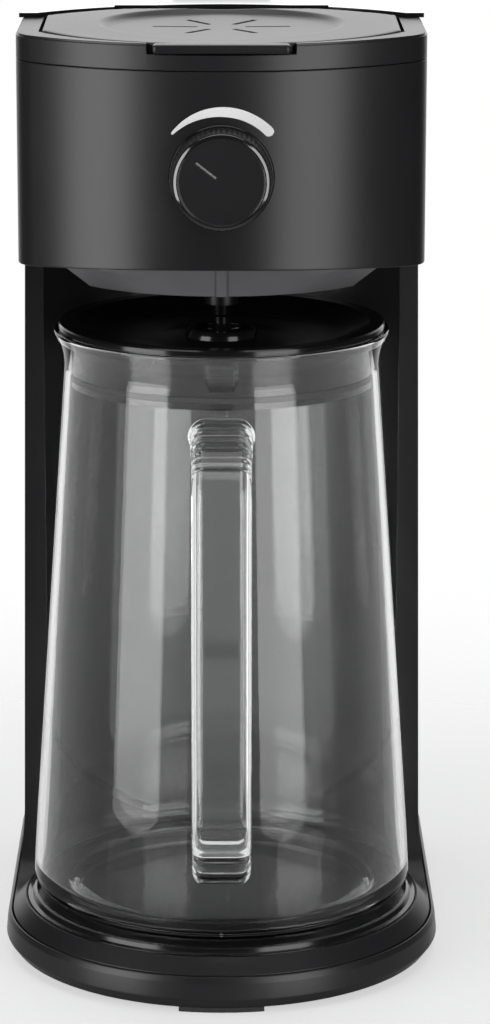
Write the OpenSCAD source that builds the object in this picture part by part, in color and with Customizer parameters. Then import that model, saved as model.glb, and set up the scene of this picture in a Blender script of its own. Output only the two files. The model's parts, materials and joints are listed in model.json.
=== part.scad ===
// Iced tea maker: brew head, column, glass pitcher, rear water tank and base.
// The pitcher's axis is the middle of the working frame; the front faces -Y and the table is z = 0.

/* [Base] */
// Radius of the round nose of the base
base_r = 89.5; // [86:0.5:96]
// Distance from the pitcher bay out to the rim of the base
bay_in = 7.5; // [6.5:0.1:9]
// Distance from the back of the column to the back of the base
rear_depth = 52; // [48:1:66]
// Corner radius of the base's back corners
base_corner_r = 28; // [20:1:36]
// Height of the rubber feet
foot_h = 3; // [2:0.5:6]
// Height of the outer base band
band_h = 12.3; // [10:0.1:18]
// Thickness of the base plate
plate_t = 2.4; // [1.6:0.1:3]

/* [Pitcher] */
// Clearance between the pitcher's foot and the bay
jar_clear = 4.2; // [4:0.1:8]
// Outer radius of the pitcher at its neck
jar_neck_r = 64; // [60:0.5:66]
// Flare of the rim beyond the neck
rim_flare = 3.4; // [2.8:0.1:5]
// Height of the pitcher
jar_h = 235.6; // [215:0.2:236]
// Wall thickness of the glass
glass_t = 3; // [2.4:0.1:3.6]
// Reach of the handle in front of the pitcher axis
handle_reach = 114; // [106:1:126]
// Width of the handle
handle_w = 23; // [18:0.5:28]
// Height of the pitcher lid's flange
lid_flange_t = 2.4; // [2:0.1:3]
// Depth of the pitcher lid's skirt inside the neck
lid_skirt_h = 22; // [16:1:26]

/* [Column] */
// Clear height between the flange of the pitcher lid and the basket's nozzle
nozzle_clear = 6.8; // [5:0.2:16]
// Distance from the pitcher axis back to the column's front edges
tip_y = 37; // [34:0.5:42]
// Wall thickness of the moulded housings
wall = 2.5; // [2:0.1:3]
// Height of the deck that the water tank stands on
deck_z = 138; // [120:1:160]
// Distance that the column's sides lie in from the base's at the top
column_top_in = 9; // [8:0.1:10]
// Distance that the column's sides lie in from the base's above the foot flare
column_foot_in = 6; // [5:0.1:7]

/* [Head] */
// Distance that the head's sides lie in from the column's
head_in = 0.5; // [0.1:0.1:2]
// Distance from the pitcher axis to the front of the head
head_front = 69; // [67:0.5:72]
// Height of the head below its top ring
shell_h = 76.4; // [72:0.2:90]
// Height of the top ring
ring_h = 10; // [9:0.2:12]
// Radius of the dish in the lid
dish_r = 49; // [44:0.5:50]
// Depth of the dish in the lid
dish_depth = 2; // [1.2:0.1:2.2]
// Outer length of the star slots from the lid's middle
star_r = 28; // [22:0.5:32]
// Width of the front tab on the lid
tab_w = 55; // [40:1:64]

/* [Knob] */
// Height of the knob's axis above the underside of the head
knob_rise = 36; // [33:0.5:40]
// Radius of the knob at its base
knob_base_r = 19.4; // [17:0.2:21]
// Radius of the knob's face
knob_face_r = 17.8; // [15.5:0.2:18]
// Length of the knob
knob_len = 12.4; // [9:0.2:16]
// Radius of the knob's shaft
shaft_r = 3; // [2.5:0.1:3.5]

/* [Basket] */
// Distance from the sides of the head to the sides of the basket
basket_side = 16.5; // [16:0.5:22]
// Distance from the front of the head to the front of the basket
basket_in = 19; // [18:0.5:23]
// Depth of the basket's tapered foot below the head
basket_drop = 15.4; // [12:0.2:18]
// Height of the basket above the underside of the head
basket_rise = 55; // [48:0.5:58]

/* [Tank] */
// Distance that the tank's back lies in from the base's
tank_in = 2; // [1:0.5:8]
// Wall thickness of the tank
tank_t = 2.6; // [2:0.1:3.2]
// Step from the top of the head down to the rim of the tank
tank_step = 20; // [18:1:30]
// Thickness of the tank lid
tank_lid_t = 2.4; // [2:0.1:3]

/* [Hidden] */

black = "#202124";
gloss = "#141416";
clear = "#c9d6d8";
smoke = "#8d979c";
metal = "#b9bcc0";
rubber = "#2b2b2d";
white = "#e8e6e0";

eps = 0.01;
gap = 0.3;
seam = 0.5;
pin_gap = 0.05;

bay_r = base_r - bay_in;
jar_r = bay_r - jar_clear;
jar_rim_r = jar_neck_r + rim_flare;
column_top_hw = base_r - column_top_in;
column_foot_hw = base_r - column_foot_in;
head_hw = column_top_hw - head_in;
tank_hw = column_top_hw;
column_r = bay_r + 16;
base_back = column_r + rear_depth;
tank_back = base_back - tank_in;
basket_reach = head_front - basket_in;
basket_hw = head_hw - basket_side;

nozzle_r = 4.2;
nozzle_h = 9.6;
band_top = foot_h + band_h;
band_foot = 5;
ledge_in = 5.6;
rim_in = 2.9;
rim_z = band_top + 0.3;
skirt_z = foot_h + band_foot + 0.2;
platform_r = bay_r - 0.4;
platform_z = rim_z + 5.8;
seat_r = platform_r - 1.2;
seat_floor = platform_z - 2;
seat_z = seat_floor + 4.8;
bay_h = 2 * gap + jar_h + lid_flange_t + nozzle_clear + nozzle_h + basket_drop;
head_z = seat_z + bay_h;
tower_z = deck_z - wall - gap;
cover_y = base_back - 32;
ring_z = head_z + shell_h;
top_z = ring_z + ring_h;
knob_z = head_z + knob_rise;
jar_z = seat_z + gap;
rim_top = jar_z + jar_h;
cheek_y = tip_y + 25;
back_shell_t = 2.3;
fillet_r = 26;
flare_z = rim_z + 34;
y_mid = (base_back - handle_reach) / 2;

head_front_r = 105;
shoulder_r = 22;

lid_hw = head_hw - 9.6;
lid_gap = 0.8;
lid_front = head_front - 2.6;
lid_side_y = -24;
lid_front_r = (pow(lid_hw, 2) + pow(lid_front + lid_side_y, 2)) / (2 * (lid_front + lid_side_y));
lid_back_r = 96.5;
hinge_y = cheek_y - 8.6;
lid_back_cy = hinge_y - 91.6;
hinge_z = top_z - 2.6;
hinge_r = 2.4;
hinge_pin_r = 1.2;
lid_chord_y = hinge_y - 3;

flare_bend = (base_r - rim_in - column_foot_hw) / pow(flare_z - rim_z, 2);

foot_r = 8;
foot_spots = [for (x = [-1, 1]) each
    [[x * 0.65 * base_r, -0.47 * base_r], [x * (base_r - 27.5), base_back - 28]]];
screw_spots = [for (x = [-1, 1]) each [[x * (base_r - 19.5), 14], [x * (base_r - 12), base_back - 46]]];
screw_r = 1.6;
screw_head_r = 3.2;

socket_y = column_r + 24;
socket_r = 9.5;

hinge_pin_l = 50;
knuckle_l = 30;
lid_t = 3.9;
tab_h = 3.6;
rear_deck_t = 1.8;

knob_back = head_front + 1.7;
bush_r = 7.8;
bush_flange_r = bush_r + 2;

pinion_teeth = 14;
tooth_module = 1;
pinion_r = pinion_teeth * tooth_module / 2;
pinion_y = head_front - 12;
pinion_w = 4.2;

rack_rest_x = 6.4;
rack_l = 46;
rack_bar_h = 4;
rack_travel = 12.8;
gate_w = 6;

basket_arc_r = 80;

basket_top = head_z + basket_rise;
basket_flange_t = 2;
carrier_t = 2.5;
carrier_z = basket_top - basket_flange_t - gap - carrier_t;

basket_floor = head_z - basket_drop + 2.2;
basket_t = 2;
basket_taper = 11;
rib_w = 4;
rib_t = 1;
cage_h = 14;
cage_r = 8.2;

filter_z = head_z + 3;
filter_floor_t = 1.4;
filter_window_h = 31;

valve_lift = 1.5;
valve_plug_t = 2.5;
valve_seat = basket_floor + valve_lift + gap;

spring_wire = 0.5;
drip_spring_z = valve_seat + valve_plug_t + 0.1;

jar_corner_r = 10;
flare_h = 15;

handle_t = 11;
handle_top = jar_h - 31;
handle_low = 35.6;
handle_bend = 24;
root_grow = 0.8;
root_l = 5;

lid_seat_z = rim_top + gap;
flange_r = jar_rim_r - 1.8;
lid_ring_r = 14.8;
lid_ring_h = 3.5;
dish_floor = -3.9;
lid_nub_r = 3.4;
lid_nub_h = lid_flange_t + valve_lift;

valve_tip = lid_seat_z + lid_nub_h + gap + 0.1;

skirt_r = jar_neck_r - glass_t - 0.6;
skirt_t = 1.8;
gasket_depth = 1;
gasket_z = 17;

tank_gap = 1.3;
tank_lid_gap = 3;
tank_corner_r = 25;

tank_z = deck_z + gap;
tank_rim_z = top_z - tank_step;
tank_top = tank_rim_z - gap;
tank_floor = tank_z + 3;
stub_r = 7.8;
stub_h = 7.6;
tank_bore_r = 4.5;
tank_cage_r = 7.6;
tank_cage_h = 15;
tank_pin_y = tank_back - 2;
tank_pin_z = tank_rim_z + 0.4;
tank_knuckle_l = 39;
lug_w = 4.4;

cover_w = 45;
cover_h = 5.3;
hinge_cover_y = cheek_y - 2.2;
deck_r = lid_back_r + 2;

tank_valve_lift = 2.5;
tank_valve_seat = tank_floor + tank_valve_lift + gap;
tank_valve_z = tank_z - stub_h + 1.1;
socket_low = deck_z - 13;
socket_pin_h = tank_valve_z - gap - socket_low;

tank_spring_z = tank_valve_seat + 2.5;

hose_r = 3.6;
hose_grip = 4;
hose_y = bay_r + wall + 5.5;
spout_r = 2.6;
spout_bore_r = 1.7;
spout_z = top_z - 9.4;
barb_z = spout_z - 18;

heater_x = base_r - 35.5;
heater_y = base_back - 38;
heater_z = 60;
heater_port_z = heater_z + 22;
check_z = heater_port_z + gap;
check_h = 18;
check_top = check_z + check_h;

gland_r = 6;
gland_bore_r = 3.6;
gland_x = -45;
gland_z = 40;
gland_l = 16;

rocker_x = 45;
rocker_z = 40;
switch_w = 14;
switch_h = 21;
rocker_y = base_back - rim_in - 3.6;
pivot_r = 1.2;
rocker_tilt = 7;

term_l = 30;
inner_boss = bay_r + wall + 3;
head_screw_spots = [for (x = [-1, 1]) for (a = [34, 52]) [x * inner_boss * cos(a), inner_boss * sin(a)]];

$fn = 96;

// Points of an arc about (cx, cy), from angle a0 to a1 in n steps.
function arc(cx, cy, r, a0, a1, n) =
    [for (i = [0 : n]) let (a = a0 + (a1 - a0) * i / n) [cx + r * cos(a), cy + r * sin(a)]];
function mirrored(points) =
    [for (i = [len(points) - 1 : -1 : 0]) if (points[i][0] > 0.001) [-points[i][0], points[i][1]]];

// Places the working frame so that the part's footprint is centred on the origin.
module at_origin() {
    translate([0, -y_mid, 0]) children();
}

// Runs a 2-D outline along X, with its first coordinate along Y and its second along Z.
module along_x(width) {
    rotate([90, 0, 90]) translate([0, 0, -width / 2]) linear_extrude(width) children();
}

// Runs a 2-D outline along Y from y0, with its first coordinate along X and its second along Z.
module along_y(y0, length) {
    translate([0, y0 + length, 0]) rotate([90, 0, 0]) linear_extrude(length) children();
}

// Outline of the base, a round nose with straight sides and rounded back corners.
module base_plan(inset = 0) {
    r = base_r - inset;
    back = base_back - inset;
    corner = base_corner_r - inset;
    right = concat(arc(0, 0, r, -90, 0, 24), arc(r - corner, back - corner, corner, 0, 90, 8));
    polygon(concat(right, mirrored(right)));
}

// Outline of the head: a broad front arc, rounded shoulders and a back that fits the column.
module head_plan(inset = 0) {
    r = head_front_r - inset;
    cy = head_front_r - head_front;
    s = shoulder_r - inset;
    hw = head_hw - inset;
    sx = hw - s;
    sy = cy - sqrt(pow(r - s, 2) - pow(sx, 2));
    turn = atan2(sy - cy, sx);
    back = cheek_y - inset;
    rr = column_r - inset;
    bx = sqrt(rr * rr - back * back);
    right = concat(arc(0, cy, r, -90, turn, 12), arc(sx, sy, s, turn, 0, 8),
        [[hw, back]], arc(0, 0, rr, atan2(back, bx), 90, 12));
    polygon(concat(right, mirrored(right)));
}

// Outline of the brew lid, with an arched front, straight sides and a chord at the hinge.
module lid_plan(inset = 0) {
    fr = lid_front_r - inset;
    fy = lid_front_r - lid_front;
    hw = lid_hw - inset;
    br = lid_back_r - inset;
    chord = lid_chord_y - inset;
    a0 = atan2(-sqrt(fr * fr - hw * hw), hw);
    b0 = atan2(sqrt(br * br - hw * hw), hw);
    b1 = asin((chord - lid_back_cy) / br);
    right = concat(arc(0, fy, fr, -90, a0, 14), arc(0, lid_back_cy, br, b0, b1, 8));
    polygon(concat(right, mirrored(right)));
}

// Half width of the column at a height: a straight taper above a flared foot.
function column_hw(z) = z >= flare_z
    ? column_foot_hw + (column_top_hw - column_foot_hw) * (z - flare_z) / (head_z - flare_z)
    : column_foot_hw + flare_bend * pow(flare_z - max(z, rim_z), 2);

// Front outline of the column, from the skirt to the underside of the head.
module column_front(inset = 0) {
    flare = [for (i = [0 : 7]) let (z = rim_z + (flare_z - rim_z) * i / 7) [column_hw(z) - inset, z]];
    right = concat([[base_r - rim_in - inset, skirt_z]], flare, [[column_top_hw - inset, head_z]]);
    polygon(concat(right, mirrored(right)));
}

// Side outline of the column with its curved foot in front and the open-topped tower behind.
module column_side(inset = 0) {
    foot = arc(tip_y - fillet_r, rim_z + fillet_r, fillet_r, -90, 0, 8);
    slope = [for (p = foot) [p[0] + inset, p[1] - inset]];
    tower_top = inset > 0 ? deck_z : tower_z;
    polygon(concat([[inset, skirt_z], [inset, rim_z - inset]], slope,
        [[tip_y + inset, head_z], [column_r, head_z], [column_r, tower_top],
        [base_back, tower_top], [base_back, skirt_z]]));
}

// Solid envelope of the column, its foot and the tower, drawn in by an inset.
module column_envelope(inset = 0) {
    intersection() {
        along_y(-eps, base_back + 1) column_front(inset);
        along_x(2 * base_r) column_side(inset);
        translate([0, 0, skirt_z]) linear_extrude(head_z) base_plan(rim_in + inset);
    }
}

// Back edge of the column above the deck: flat cheeks and a bulge behind the bay.
module column_back_plan(inset = 0) {
    translate([-base_r, 0]) square([2 * base_r, cheek_y - inset]);
    circle(column_r - inset);
}

// Outer base band with a bevelled foot and an inner ledge.
module base_band() {
    bevel = 3;
    color(black) at_origin() difference() {
        hull() {
            translate([0, 0, foot_h]) linear_extrude(eps) base_plan(bevel);
            translate([0, 0, foot_h + bevel + 0.3]) linear_extrude(band_h - bevel - 2.6) base_plan();
            translate([0, 0, band_top - eps]) linear_extrude(eps) base_plan(1.2);
        }
        translate([0, 0, foot_h - 1]) linear_extrude(band_foot + 1) base_plan(ledge_in);
        translate([0, 0, foot_h + band_foot - eps]) linear_extrude(band_h) base_plan(rim_in - seam);
    }
}

// Flat bottom plate with air slots and recessed screw holes.
module base_plate() {
    color(black) at_origin() difference() {
        translate([0, 0, foot_h]) linear_extrude(plate_t) base_plan(ledge_in + 0.4);
        for (p = screw_spots) translate([p[0], p[1], foot_h - 1]) {
            cylinder(r = screw_r + 0.2, h = plate_t + 2);
            cylinder(r = screw_head_r + gap, h = 1 + 1.2);
        }
        for (i = [-3 : 3]) translate([i * 9 - 1.5, 84, foot_h - 1]) cube([3, 26, plate_t + 2]);
    }
}

// Rubber feet: four round pads and a wide pad under the nose.
module foot_pads() {
    color(rubber) at_origin() {
        for (p = foot_spots) translate([p[0], p[1], 0]) cylinder(r = foot_r, h = foot_h);
        intersection() {
            translate([-17, -base_r, 0]) cube([34, 12, foot_h]);
            linear_extrude(foot_h) base_plan(3.2);
        }
    }
}

// Four screws that hold the plate to the bosses of the main moulding.
module base_screws() {
    color(metal) at_origin() for (p = screw_spots) translate([p[0], p[1], foot_h + 0.2]) {
        cylinder(r = screw_head_r, h = 1);
        cylinder(r = screw_r, h = 10);
    }
}

// Everything behind a plane at y0 and above z0, except the wall round the bay.
module behind_bay(y0, z0) {
    difference() {
        translate([-base_r, y0, z0]) cube([2 * base_r, base_back, head_z]);
        translate([0, 0, z0 - 1]) cylinder(r = bay_r + wall, h = head_z + 2);
    }
}

// Main moulding: sloping tray, pitcher bay, column front and the sides of the tower.
module main_body() {
    inner_r = bay_r + wall;
    rim_r = base_r - rim_in;
    tray = [[0, seat_floor - wall], [seat_r - 2, seat_floor - wall], [rim_r - 4.6, rim_z - 2.6],
        [rim_r - 2.4, skirt_z], [rim_r, skirt_z], [rim_r, rim_z],
        [platform_r, platform_z], [seat_r + gap, platform_z], [seat_r + gap, seat_floor], [0, seat_floor]];
    color(black) at_origin() difference() {
        union() {
            difference() {
                column_envelope();
                difference() {
                    union() {
                        column_envelope(wall);
                        translate([0, 0, skirt_z - 1]) linear_extrude(3) base_plan(rim_in + wall);
                    }
                    translate([0, 0, skirt_z - 2]) cylinder(r = inner_r, h = head_z);
                }
                translate([0, 0, skirt_z - 2]) cylinder(r = bay_r, h = head_z);
                behind_bay(cheek_y - back_shell_t - gap, tower_z);
                translate([-base_r, cover_y, rim_z]) cube([2 * base_r, base_back, head_z]);
            }
            difference() {
                rotate_extrude() polygon(tray);
                behind_bay(tip_y + wall, 0);
            }
            for (p = screw_spots) translate([p[0], p[1], foot_h + plate_t])
                cylinder(r = 4.4, h = seat_floor - 1 - foot_h - plate_t);
            for (x = [-1, 1]) translate([x * (base_r - rim_in - 5.6), screw_spots[1][1], skirt_z])
                translate([-4.4, -1.2, 0]) cube([8.8, 2.4, seat_floor - 1 - skirt_z]);
            for (p = head_screw_spots) translate([p[0], p[1], head_z - 20]) cylinder(r = 3.7, h = 20);
        }
        translate([0, 0, seat_floor]) cylinder(r = seat_r + gap, h = head_z);
        translate([0, 0, platform_z]) cylinder(r = bay_r, h = head_z);
        for (p = screw_spots) translate([p[0], p[1], foot_h]) cylinder(r = screw_r + 0.02, h = 11);
        for (p = head_screw_spots) translate([p[0], p[1], head_z - 11]) cylinder(r = screw_r + 0.02, h = 12);
    }
}

// Round seat that the pitcher stands on, with a stepped edge and a hollow underside.
module seat_plate() {
    step = 2.3;
    seat_h = seat_z - seat_floor;
    color(gloss) at_origin() translate([0, 0, seat_floor]) difference() {
        rotate_extrude() polygon([[0, 0], [seat_r, 0], [seat_r, step], [seat_r - 0.5, step + 0.4],
            [seat_r - 1.6, step + 0.4], [seat_r - 2.2, seat_h - 0.4], [seat_r - 2.8, seat_h], [0, seat_h]]);
        translate([0, 0, -1]) cylinder(r = seat_r - 8, h = seat_h - 1.5);
    }
}

// Back of the column: a bulged skin between the two cheeks.
module column_back() {
    color(black) at_origin() intersection() {
        column_envelope();
        translate([0, 0, deck_z + gap]) linear_extrude(head_z - deck_z - 2 * gap) difference() {
            column_back_plan();
            column_back_plan(back_shell_t);
        }
    }
}

// Cover that closes the back of the tower, with air slots and holes for the gland and rocker.
module rear_cover() {
    color(black) at_origin() difference() {
        intersection() {
            column_envelope();
            translate([-base_r, cover_y + gap, rim_z + gap]) cube([2 * base_r, base_back, tower_z]);
        }
        column_envelope(wall);
        for (i = [-3.5 : 3.5]) translate([i * 9, base_back - 6, tower_z - 33]) cube([4, 12, 32], center = true);
        gland_axis() cylinder(r = gland_r + gap, h = 20, center = true);
        switch_pocket(gap);
    }
}

// Deck that the tank stands on, with the valve socket and its lifting pin.
module tank_deck() {
    color(black) at_origin() {
        difference() {
            union() {
                intersection() {
                    translate([0, 0, tower_z + gap]) linear_extrude(deck_z - tower_z - gap) difference() {
                        base_plan(rim_in);
                        translate([-base_r, -base_r]) square([2 * base_r, base_r + cheek_y + gap]);
                        circle(column_r + gap);
                    }
                    along_y(0, base_back) column_front();
                }
                translate([0, socket_y, socket_low]) rotate_extrude() polygon([[0, -6], [3.4, -6], [3.4, -3],
                    [6.6, -3], [6.6, 0], [socket_r + 3, 0], [socket_r + 3, 12], [0, 12]]);
            }
            translate([0, socket_y, socket_low]) rotate_extrude()
                polygon([[0, -7], [2.2, -7], [2.2, -1.6], [5, -1.6], [5, 2], [socket_r, 2],
                    [socket_r, 20], [0, 20]]);
        }
        translate([0, socket_y, socket_low]) {
            for (a = [0, 90]) rotate([0, 0, a]) translate([-5.5, -0.9, 0.4]) cube([11, 1.8, 1.6]);
            translate([0, 0, 0.4]) cylinder(r = 1.5, h = socket_pin_h - 0.4);
        }
    }
}

// Rubber ring in the socket round the tank's foot.
module socket_seal() {
    color(rubber) at_origin() translate([0, socket_y, deck_z - 8]) difference() {
        cylinder(r = socket_r - 0.02, h = 3);
        translate([0, 0, -1]) cylinder(r = stub_r + gap, h = 5);
    }
}

// Head shell: walls and floor, with a skirt that arches up towards the middle of the front.
module housing_shell() {
    skirt = 4;
    arch_r = (head_hw * head_hw + skirt * skirt) / (2 * skirt);
    color(black) at_origin() difference() {
        union() {
            translate([0, 0, head_z]) linear_extrude(shell_h - gap) head_plan();
            difference() {
                translate([0, 0, head_z - skirt]) linear_extrude(skirt + 1) head_plan();
                translate([-base_r, tip_y - gap, head_z - skirt - 1]) cube([2 * base_r, base_back, skirt + 1]);
                translate([0, 0, head_z - skirt - 1]) linear_extrude(skirt + 1) head_plan(wall);
                translate([0, base_back, head_z - arch_r]) rotate([90, 0, 0])
                    cylinder(r = arch_r, h = 2 * base_back, $fn = 360);
            }
        }
        translate([0, 0, head_z + wall]) linear_extrude(shell_h) head_plan(wall);
        translate([0, 0, head_z - 1]) linear_extrude(wall + 2) basket_plan(-2.4);
        translate([0, hose_y, head_z - 1]) cylinder(r = 6.5, h = wall + 2);
        for (p = head_screw_spots) translate([p[0], p[1], head_z - 1])
            cylinder(r = screw_r + 0.2, h = wall + 2);
        knob_axis(-head_front - 10) cylinder(r = bush_r + 0.05, h = 20);
    }
}

// Top ring of the head, a plate on a rim with the lid's pocket, hinge bores and tab notch.
module top_ring() {
    plate = 6.2;
    lid_seat = lid_t + gap;
    color(black) at_origin() difference() {
        union() {
            translate([0, 0, ring_z]) linear_extrude(ring_h - 0.9) head_plan();
            translate([0, 0, ring_z + 1]) linear_extrude(ring_h - 1) head_plan(0.8);
        }
        translate([0, 0, ring_z - 1]) linear_extrude(ring_h - plate + 1) head_plan(wall);
        translate([0, 0, top_z - lid_seat]) linear_extrude(ring_h) lid_plan(-lid_gap);
        translate([-lid_hw * 0.68, lid_chord_y - 6, top_z - 1]) cube([lid_hw * 1.36, 12.3, ring_h]);
        translate([0, 0, ring_z - 1]) linear_extrude(ring_h + 2) lid_plan(3.4);
        translate([-knuckle_l / 2 - 0.4, lid_chord_y - 5, ring_z - 1]) cube([knuckle_l + 0.8,
            hinge_y + hinge_r + 0.5 - lid_chord_y + 5, ring_h + 2]);
        translate([-tab_w / 2 - 0.9, -head_front - 1, top_z - tab_h - 0.5]) cube([tab_w + 1.8, 8, ring_h]);
        hinge_axis() cylinder(r = hinge_pin_r + 0.02, h = hinge_pin_l + 0.2, center = true);
    }
}

// Fixed deck behind the lid, a thin plate with an ear at each side and a raised hinge cover.
module rear_deck() {
    ear_hw = head_hw + 1.3;
    ear_y = hinge_y - 26.4;
    r = 5;
    edge = concat(arc(cover_w / 2 - r, hinge_cover_y + r, r, -90, 0, 6), [[cover_w / 2, column_r - 9]]);
    color(black) at_origin() translate([0, 0, top_z]) {
        linear_extrude(rear_deck_t) difference() {
            union() {
                translate([-ear_hw, ear_y]) square([2 * ear_hw, cheek_y - ear_y]);
                intersection() {
                    circle(column_r);
                    translate([-ear_hw, ear_y]) square([2 * ear_hw, column_r]);
                }
            }
            translate([0, lid_back_cy]) circle(deck_r);
            translate([-lid_hw * 0.62, 0]) square([lid_hw * 1.24, hinge_y + 3]);
        }
        linear_extrude(cover_h) polygon(concat(edge, mirrored(edge)));
    }
}

// Brew lid with a round dish, a star of steam slots, a front tab and a hinge knuckle.
module brew_lid() {
    dish_y = -1;
    color(black) at_origin() difference() {
        union() {
            translate([0, 0, top_z - lid_t]) linear_extrude(lid_t - 0.5) lid_plan();
            translate([0, 0, top_z - 1]) linear_extrude(1) lid_plan(0.5);
            translate([0, dish_y, top_z - lid_t - 1.6]) cylinder(r = dish_r - 3.5, h = lid_t);
            hull() for (x = [-1, 1]) for (y = [-head_front + 3, -head_front - 0.6])
                translate([x * (tab_w / 2 - 1.4), y, top_z - tab_h]) cylinder(r = 1.4, h = tab_h, $fn = 24);
            hinge_axis() cylinder(r = hinge_r, h = knuckle_l, center = true);
            translate([-knuckle_l / 2, lid_chord_y - 1, top_z - lid_t]) cube([knuckle_l, 4, 3.4]);
        }
        translate([0, dish_y, 0]) rotate_extrude() polygon([[0, top_z - dish_depth - 0.6],
            [dish_r - 9, top_z - dish_depth], [dish_r - 2.2, top_z - dish_depth + 0.5],
            [dish_r - 0.6, top_z - 0.6], [dish_r, top_z], [dish_r, top_z + 2], [0, top_z + 2]]);
        for (a = [0 : 60 : 300]) translate([0, dish_y, top_z - 8]) rotate([0, 0, a])
            translate([star_r * 0.38, -0.7, 0]) cube([star_r * 0.62, 1.4, 10]);
        hinge_axis() cylinder(r = hinge_pin_r + pin_gap, h = knuckle_l + 2, center = true);
    }
}

// Axis of the brew lid's hinge, running along X.
module hinge_axis() {
    translate([0, hinge_y, hinge_z]) rotate([0, 90, 0]) children();
}

// Hinge pin of the brew lid.
module lid_hinge_pin() {
    color(metal) at_origin() hinge_axis() cylinder(r = hinge_pin_r, h = hinge_pin_l, center = true);
}

// Dished spray plate that hangs under the brew lid on three posts.
module shower_plate() {
    plate_r = 38;
    plate_z = top_z - 14;
    post_top = top_z - lid_t - 1.6;
    color(white) at_origin() {
        difference() {
            translate([0, 0, plate_z]) cylinder(r = plate_r, h = 3.6);
            translate([0, 0, plate_z + 1.6]) cylinder(r = plate_r - 1.6, h = 4);
            for (ring = [1 : 3]) for (i = [0 : 6 * ring - 1]) rotate([0, 0, i * 60 / ring + 15])
                translate([ring * 9, 0, plate_z - 1]) cylinder(r = 1.1, h = 4, $fn = 16);
        }
        for (a = [90, 210, 330]) rotate([0, 0, a]) translate([plate_r - 4.6, 0, plate_z + 1])
            cylinder(r = 2.4, h = post_top - plate_z - 1);
    }
}

// Axis of the strength knob, running along +Y from a given place.
module knob_axis(y0) {
    translate([0, y0, knob_z]) rotate([-90, 0, 0]) children();
}

// Strength knob: a tapered grip with flutes, a bevelled face and an engraved pointer.
module strength_knob() {
    face_y = knob_back + knob_len;
    flutes = 30;
    pointer_angle = -52;
    color(black) at_origin() difference() {
        knob_axis(-face_y) rotate_extrude() polygon([[0, 0.5], [knob_face_r - 2.6, 0.5],
            [knob_face_r - 1.6, 0], [knob_face_r - 0.8, 0], [knob_face_r, 0.9],
            [knob_base_r, knob_len], [0, knob_len]]);
        knob_axis(-face_y) for (i = [0 : flutes - 1]) rotate([0, 0, i * 360 / flutes])
            translate([knob_base_r + 0.45, 0, 2.4]) cylinder(r = 1.1, h = knob_len, $fn = 16);
        knob_axis(-face_y - 1) rotate([0, 0, -90 + pointer_angle])
            translate([knob_face_r * 0.2, -0.7, 0]) cube([knob_face_r * 0.55, 1.4, 2.1]);
        knob_axis(-knob_back - 8) cylinder(r = shaft_r + 0.02, h = 9);
        knob_axis(-knob_back - 2) cylinder(r = bush_r + 1.4, h = 3);
    }
}

// Shaft behind the knob, with the pinion that drives the gate.
module knob_shaft() {
    color(white) at_origin() {
        knob_axis(-knob_back - 7.8) cylinder(r = shaft_r, h = 7.8 + knob_back - pinion_y + pinion_w / 2 + 0.6);
        knob_axis(-pinion_y - pinion_w / 2) linear_extrude(pinion_w) difference() {
            pinion_plan();
            circle(shaft_r - 0.5);
        }
    }
}

// Outline of the pinion, made of involute teeth on a root circle.
function involute(base, t) = [base * (cos(t) + t * PI / 180 * sin(t)), base * (sin(t) - t * PI / 180 * cos(t))];
function turned(p, a) = [p[0] * cos(a) - p[1] * sin(a), p[0] * sin(a) + p[1] * cos(a)];
function flipped(points) = [for (i = [len(points) - 1 : -1 : 0]) [points[i][0], -points[i][1]]];
module pinion_plan() {
    base = pinion_r * cos(20);
    tip = pinion_r + 0.8 * tooth_module;
    root = pinion_r - 1.1 * tooth_module;
    backlash = 0.25;
    roll = tan(20) * 180 / PI;
    lean = roll - 20;
    half = 90 / pinion_teeth + lean - backlash / pinion_r * 180 / PI / 2;
    end = sqrt(pow(tip / base, 2) - 1) * 180 / PI;
    flank = concat([[root * 0.98, 0]], [for (i = [0 : 5]) involute(base, end * i / 5)]);
    side = [for (p = flank) turned(p, -half)];
    circle(root);
    for (i = [0 : pinion_teeth - 1]) rotate([0, 0, (i + 0.5) * 360 / pinion_teeth])
        polygon(concat(side, flipped(side)));
}

// Ring behind the knob, seated on the curved front of the head.
module knob_bezel() {
    color(gloss) at_origin() difference() {
        knob_axis(-head_front - 1.4) rotate_extrude() polygon([[bush_r + 0.1, 0], [knob_base_r + 1, 0],
            [knob_base_r + 1.8, 0.8], [knob_base_r + 1.8, 6], [bush_r + 0.1, 6]]);
        translate([0, 0, head_z]) linear_extrude(shell_h) head_plan(-0.03);
    }
}

// Bush that carries the knob's shaft in the wall of the head.
module shaft_bushing() {
    color(white) at_origin() difference() {
        union() {
            knob_axis(-head_front - 1.3) cylinder(r = bush_r, h = 7.8);
            knob_axis(-head_front + 4.6) cylinder(r = bush_flange_r, h = 1.9);
        }
        knob_axis(-head_front - 5) cylinder(r = shaft_r + pin_gap, h = 20);
    }
}

// Toothed bar under the pinion, with the gate that opens the bypass.
module gate_rack() {
    pitch = PI * tooth_module;
    top = knob_z - pinion_r + 0.7 * tooth_module;
    root = knob_z - pinion_r - 1.15 * tooth_module;
    backlash = 0.12;
    half_top = pitch / 4 - 0.7 * tooth_module * tan(20) - backlash;
    half_root = pitch / 4 + 1.15 * tooth_module * tan(20) - backlash;
    color(white) at_origin() {
        translate([rack_rest_x - rack_l / 2, -pinion_y - pinion_w / 2, root - rack_bar_h])
            cube([rack_l, pinion_w, rack_bar_h]);
        along_y(-pinion_y - pinion_w / 2, pinion_w) for (i = [-5 : 8]) translate([(i + 0.5) * pitch, 0])
            polygon([[-half_root, root - eps], [half_root, root - eps], [half_top, top], [-half_top, top]]);
        translate([rack_rest_x + rack_l / 2 - gate_w, -pinion_y - pinion_w / 2, root - rack_bar_h - 14])
            cube([gate_w, pinion_w, 15]);
    }
}

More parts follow.
